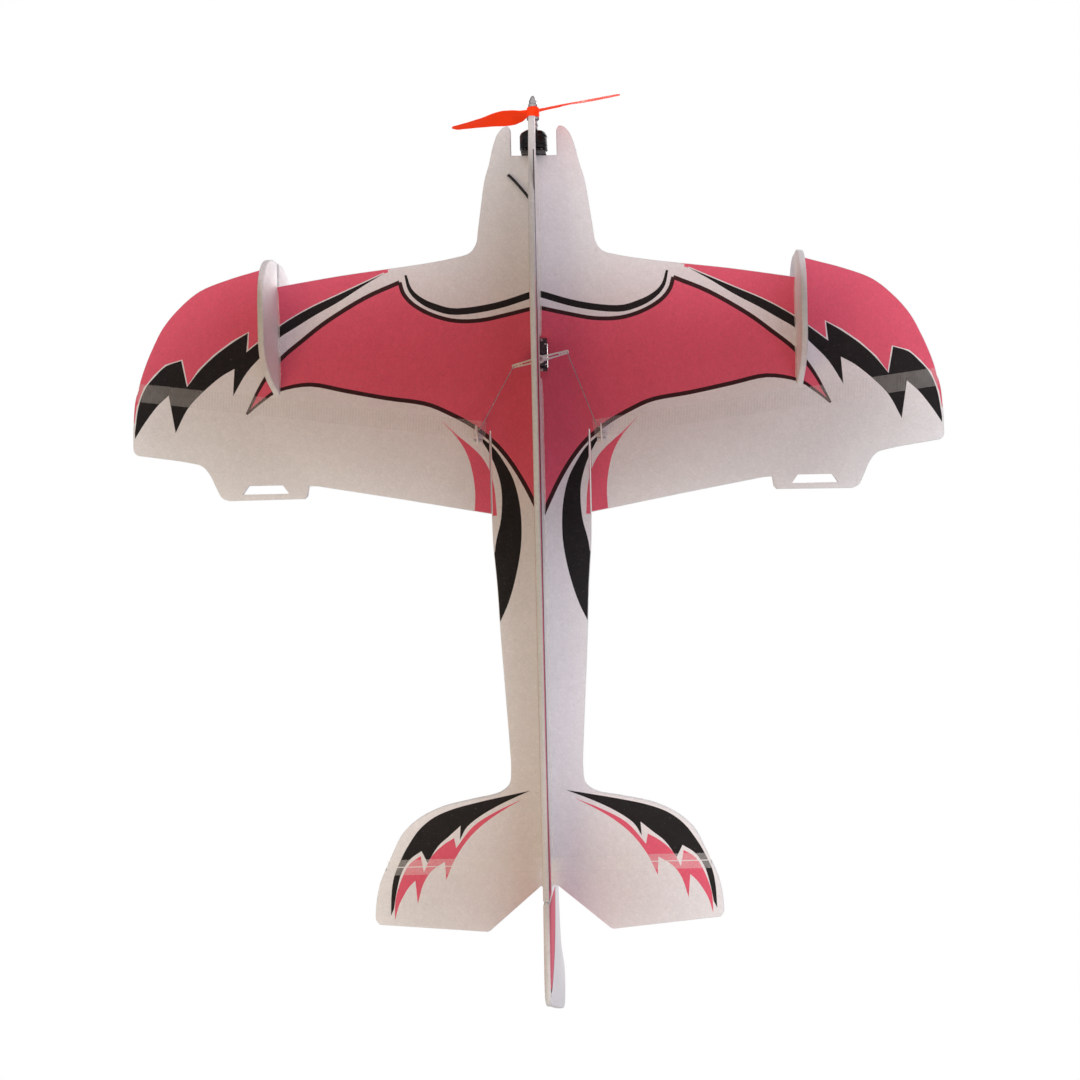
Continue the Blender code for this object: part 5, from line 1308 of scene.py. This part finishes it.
bm = bmesh.new()
box_into(bm, (8.0, -268.0, TOP), (34.0, -222.0, TOP + 0.6), 0.1, 1, 0)
for i in range(0, 11):
    for j in range(0, 19):
        x, p = 9.2 + i * 2.35 + (j % 2) * 1.1, -266.8 + j * 2.4
        if x > 33.2:
            continue
        lean = random.uniform(-0.5, 0.5)
        tube_into(bm, [(x - 0.6, p, TOP + 0.5), (x - 0.45 + lean * 0.3, p, TOP + 1.5), (x, p + 0.1, TOP + 1.8), (x + 0.45 + lean * 0.3, p, TOP + 1.5), (x + 0.6, p, TOP + 0.5)], 0.2, 5, 0)
finish("hook_strip", bm, HOOK, "airframe", ["battery_pad"], angle=60.0)

bm = bmesh.new()
rows = []
for i in range(33):
    s = i / 32
    p = -330.0 + 34.0 * s
    swell = 0.0
    for centre, width, lift in ((0.22, 0.12, 0.9), (0.5, 0.2, 0.5), (0.8, 0.1, 1.1)):
        swell += lift * math.exp(-(((s - centre) / width) ** 2))
    squeeze = 1.0 - 0.35 * (max(0.0, abs(s - 0.5) - 0.42) / 0.08)
    ring = []
    for k in range(32):
        a = math.tau * k / 32
        cx, ch = math.cos(a), math.sin(a)
        m = (abs(cx) ** 5 + abs(ch) ** 5) ** (-1 / 5)
        ring.append(bm.verts.new((-20.0 + cx * m * (10.9 * squeeze), p, TOP + 2.75 + ch * m * ((2.7 + (swell if ch > 0 else 0.0) * 0.9) * squeeze))))
    rows.append(ring)
for low, high in zip(rows, rows[1:]):
    for k in range(32):
        bm.faces.new((low[k], low[(k + 1) % 32], high[(k + 1) % 32], high[k]))
bm.faces.new(rows[0][::-1])
bm.faces.new(rows[-1])
finish("speed_controller_sleeve", bm, SHRINK, "airframe", ["speed_controller"], angle=60.0)

bm = bmesh.new()
box_into(bm, (-33.6, -261.6, TOP), (-12.4, -226.4, TOP + 9.2), 1.2, 4, 0)
box_into(bm, (-34.0, -262.0, TOP + 4.2), (-12.0, -226.0, TOP + 4.9), 0.25, 1, 0)
box_into(bm, (-31.5, -228.2, TOP + 1.0), (-14.5, -226.0, TOP + 8.6), 0.2, 1, 1)
for i in range(6):
    for j in range(3):
        x, h = -29.8 + i * 2.7, TOP + 2.2 + j * 2.54
        box_into(bm, (x - 0.32, -226.4, h - 0.32), (x + 0.32, -223.2, h + 0.32), 0.05, 1, 2)
for k in range(3):
    box_into(bm, (-30.5, -257.0 + k * 2.2, TOP + 9.1), (-22.0, -256.2 + k * 2.2, TOP + 9.45), 0.1, 1, 0)
lathe_into(bm, [(0.0, 9.1), (0.9, 9.1), (0.9, 9.5), (0.0, 9.5)], (-16.0, -254.0, TOP), (0, 0, 1), 20, 2)
finish("receiver_box", bm, [CASE, PIN_BLOCK, BRASS], "airframe", ["receiver"], angle=40.0)

# ------------------------------------------------------------------ wiring
bm = bmesh.new()
for i, x in enumerate((-24.0, -20.0, -16.0)):
    tube_into(bm, eased((x * 0.45, -356.8, 8.6), (x * 0.8, -351.0, 8.0), (x * 0.98, -343.0, 7.4), (x, -329.0, 6.4)), 0.9, 14, 0)
    tube_into(bm, [(x * 0.93, -346.5, 7.6), (x * 0.96, -343.0, 7.4), (x * 0.99, -337.5, 7.0)], 1.35, 16, 1)
finish("leads_of_motor", bm, [WIRE_BLACK, SHRINK], "airframe", ["motor_leads"], angle=60.0)

bm = bmesh.new()
for off, mat in ((-1.1, 0), (1.1, 1)):
    tube_into(bm, eased((14.0 + off, -274.0, 15.0), (12.5 + off, -284.0, 13.0), (9.5 + off, -296.0, 8.0), (2.5 + 3.0, -306.0, 6.2 + off), (HALF + 1.0, -312.0, 6.2 + off)), 0.95, 14, mat)
    tube_into(bm, eased((-HALF - 1.0, -312.0, 6.2 + off), (-6.5, -311.0, 6.2 + off), (-11.0, -309.0, 6.0 + off * 0.6)), 0.95, 14, mat)
box_into(bm, (3.6, -314.6, 4.0), (10.5, -306.8, 8.6), 0.5, 2, 2)
finish("leads_of_battery", bm, [WIRE_BLACK, WIRE_RED, WIRE_YELLOW], "airframe", ["battery_lead"], angle=60.0)

ribbon("servo_lead_nose", eased((-26.0, -331.0, 6.0), (-26.0, -334.0, 1.0), (-25.6, -334.6, -3.6), (-22.0, -331.0, -5.0), (-16.5, -325.0, -5.2), (-10.0, -317.0, -6.0), (-4.6, -309.5, -8.5)), replaced=["nose_lead"],
       colours=[WIRE_BLACK, WIRE_BLACK, WIRE_BLACK], radius=0.5, pitch=0.95, side=(0.7, -0.7, 0.2))
ribbon("servo_lead_aileron", eased((4.2, -168.6, 8.4), (-4.6 - 4.0, -176.0, 4.4), (-16.0, -192.0, 4.0), (-20.0, -210.0, 4.6), (-19.0, -222.5, 7.0)), side=(1, 0.2, 0))
ribbon("servo_lead_rudder", eased((HALF + 9.0, -40.2, 24.0), (HALF + 6.0, -47.0, 22.0), (HALF + 1.0, -60.0, 19.0), (HALF + 0.8, -110.0, 15.5), (HALF + 0.8, -160.0, 15.8), (HALF + 0.8, -205.0, 12.0), (HALF + 0.8, -214.0, 10.0)), side=(0, 0.1, 1))
ribbon("servo_lead_elevator", eased((-HALF - 9.0, 11.8, 22.0), (-HALF - 6.0, 4.0, 20.0), (-HALF - 0.8, -8.0, 12.0), (-HALF - 0.8, -60.0, 9.5), (-HALF - 0.8, -130.0, 9.0), (-HALF - 0.8, -160.0, 14.5), (-HALF - 1.0, -196.0, 12.0), (-9.0, -214.0, 9.0), (-17.0, -222.8, 8.6)), side=(0, 0.1, 1))
bm = bmesh.new()
tube_into(bm, eased((-33.6, -244.0, 9.0), (-40.0, -244.4, 8.8), (-52.0, -242.0, 7.0), (-72.0, -233.0, 4.2), (-100.0, -224.0, 3.6), (-150.0, -214.0, 3.55)), 0.5, 12, 0)
tube_into(bm, [(-121.0, -219.7, 3.55), (-135.0, -217.0, 3.5), (-150.5, -213.9, 3.5)], 0.62, 12, 1)
finish("aerial_wire", bm, [WIRE_BLACK, NYLON], "airframe", ["receiver_aerial"], angle=60.0)


# ------------------------------------------------------------------ floor, light and camera
def floor():
    """A pale studio floor just under the model. Seen from below it isn't there, so the belly stays in view."""
    t = Tree("pale_floor")
    grain = t.noise(3.0, 4.0)
    t.done(t.ramp(grain, [(0.3, (0.80, 0.79, 0.78)), (0.7, (0.84, 0.83, 0.82))]), 0.85)
    clear = t.add("ShaderNodeBsdfTransparent")
    geo = t.add("ShaderNodeNewGeometry")
    mix = t.add("ShaderNodeMixShader")
    path = t.add("ShaderNodeLightPath")
    t.link(t.math("MAXIMUM", geo.outputs["Backfacing"], path.outputs["Is Shadow Ray"]), mix.inputs["Fac"])
    t.link(t.p.outputs["BSDF"], mix.inputs[1])
    t.link(clear.outputs["BSDF"], mix.inputs[2])
    t.link(mix.outputs[0], t.out.inputs["Surface"])
    bm = bmesh.new()
    bmesh.ops.create_grid(bm, x_segments=2, y_segments=2, size=30.0)
    for v in bm.verts:
        v.co.z = -0.0006
    obj = finish("floor", bm, t.mat, None, raw=True, closed=False)
    obj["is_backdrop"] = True


floor()
scene = bpy.context.scene
world = scene.world or bpy.data.worlds.new("studio")
scene.world = world
world.use_nodes = True
wn = world.node_tree
wn.nodes.clear()
ray = wn.nodes.new("ShaderNodeLightPath")
seen, soft, mixed, end = wn.nodes.new("ShaderNodeBackground"), wn.nodes.new("ShaderNodeBackground"), wn.nodes.new("ShaderNodeMixShader"), wn.nodes.new("ShaderNodeOutputWorld")
seen.inputs["Color"].default_value = (1.0, 1.0, 1.0, 1.0)
seen.inputs["Strength"].default_value = 1.0
soft.inputs["Color"].default_value = (0.80, 0.78, 0.84, 1.0)
soft.inputs["Strength"].default_value = 0.28
wn.links.new(ray.outputs["Is Camera Ray"], mixed.inputs["Fac"])
wn.links.new(soft.outputs[0], mixed.inputs[1])
wn.links.new(seen.outputs[0], mixed.inputs[2])
wn.links.new(mixed.outputs[0], end.inputs["Surface"])


def lamp(name, place, target, size, power, colour, spread=180.0):
    data = bpy.data.lights.new(name, "AREA")
    data.shape, data.size, data.energy, data.color = "DISK", size, power, colour
    data.spread = math.radians(spread)
    obj = bpy.data.objects.new(name, data)
    obj.location = place
    obj.rotation_euler = (Vector(target) - Vector(place)).to_track_quat("-Z", "Y").to_euler()
    obj.visible_camera = False
    scene.collection.objects.link(obj)
    return obj


lamp("belly_warm", (-0.75, 0.75, -0.9), (-0.03, 0.25, 0.06), 0.7, 3.6, (1.0, 0.76, 0.30))
lamp("belly_cool", (0.75, 0.8, -0.9), (0.03, 0.25, 0.06), 0.8, 2.7, (0.78, 0.84, 1.0))
lamp("belly_front", (0.1, -1.2, -1.2), (0.0, 0.0, 0.06), 1.0, 0.3, (1.0, 0.93, 0.92))
lamp("belly_key", (0.0, 0.4, -2.1), (0.0, 0.2, 0.06), 0.7, 2.8, (1.0, 0.94, 0.95))
lamp("roof", (0.3, -0.2, 1.8), (0.0, 0.15, 0.06), 1.6, 6.0, (1.0, 0.98, 0.96))
lamp("window", (1.6, -1.3, 1.2), (0.0, 0.1, 0.06), 1.2, 5.0, (0.92, 0.95, 1.0))
sky = bpy.data.objects.new("sky", bpy.data.lights.new("sky", "SUN"))
sky.data.energy, sky.data.angle, sky.data.color = 1.9, math.radians(50.0), (1.0, 0.99, 0.98)
sky.rotation_euler = (math.radians(18.0), math.radians(20.0), 0.0)
scene.collection.objects.link(sky)

cam = bpy.data.cameras.new("camera")
cam.lens, cam.sensor_width, cam.clip_start, cam.clip_end = 50.0, 36.0, 0.02, 40.0
eye = bpy.data.objects.new("camera", cam)
scene.collection.objects.link(eye)
turn = [math.radians(a) for a in (-0.04, -0.64, -1.24)]
axis = Vector(turn)
to_cam = Matrix.Rotation(axis.length, 3, axis)  # object frame to camera frame: x right, y down, z into the picture
# A row of to_cam is where that camera axis points in the model.
right, down, into = (Vector(to_cam[k]) for k in range(3))
pose = Matrix((right, -down, -into)).transposed().to_4x4()
pose.translation = Vector((0.106, 0.1795, -1.4245))
eye.matrix_world = pose
SHIFT = -0.117
cam.shift_x = SHIFT
drive = cam.driver_add("shift_x").driver
drive.type = "SCRIPTED"
var = drive.variables.new()
var.name, var.type = "z", "TRANSFORMS"
var.targets[0].id = eye
var.targets[0].transform_type = "LOC_Z"
var.targets[0].transform_space = "WORLD_SPACE"
drive.expression = f"{SHIFT} * (abs(z + 1.4245) < 0.005)"
scene.camera = eye
scene.view_settings.view_transform = "Standard"
scene.view_settings.look = "None"

low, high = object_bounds()
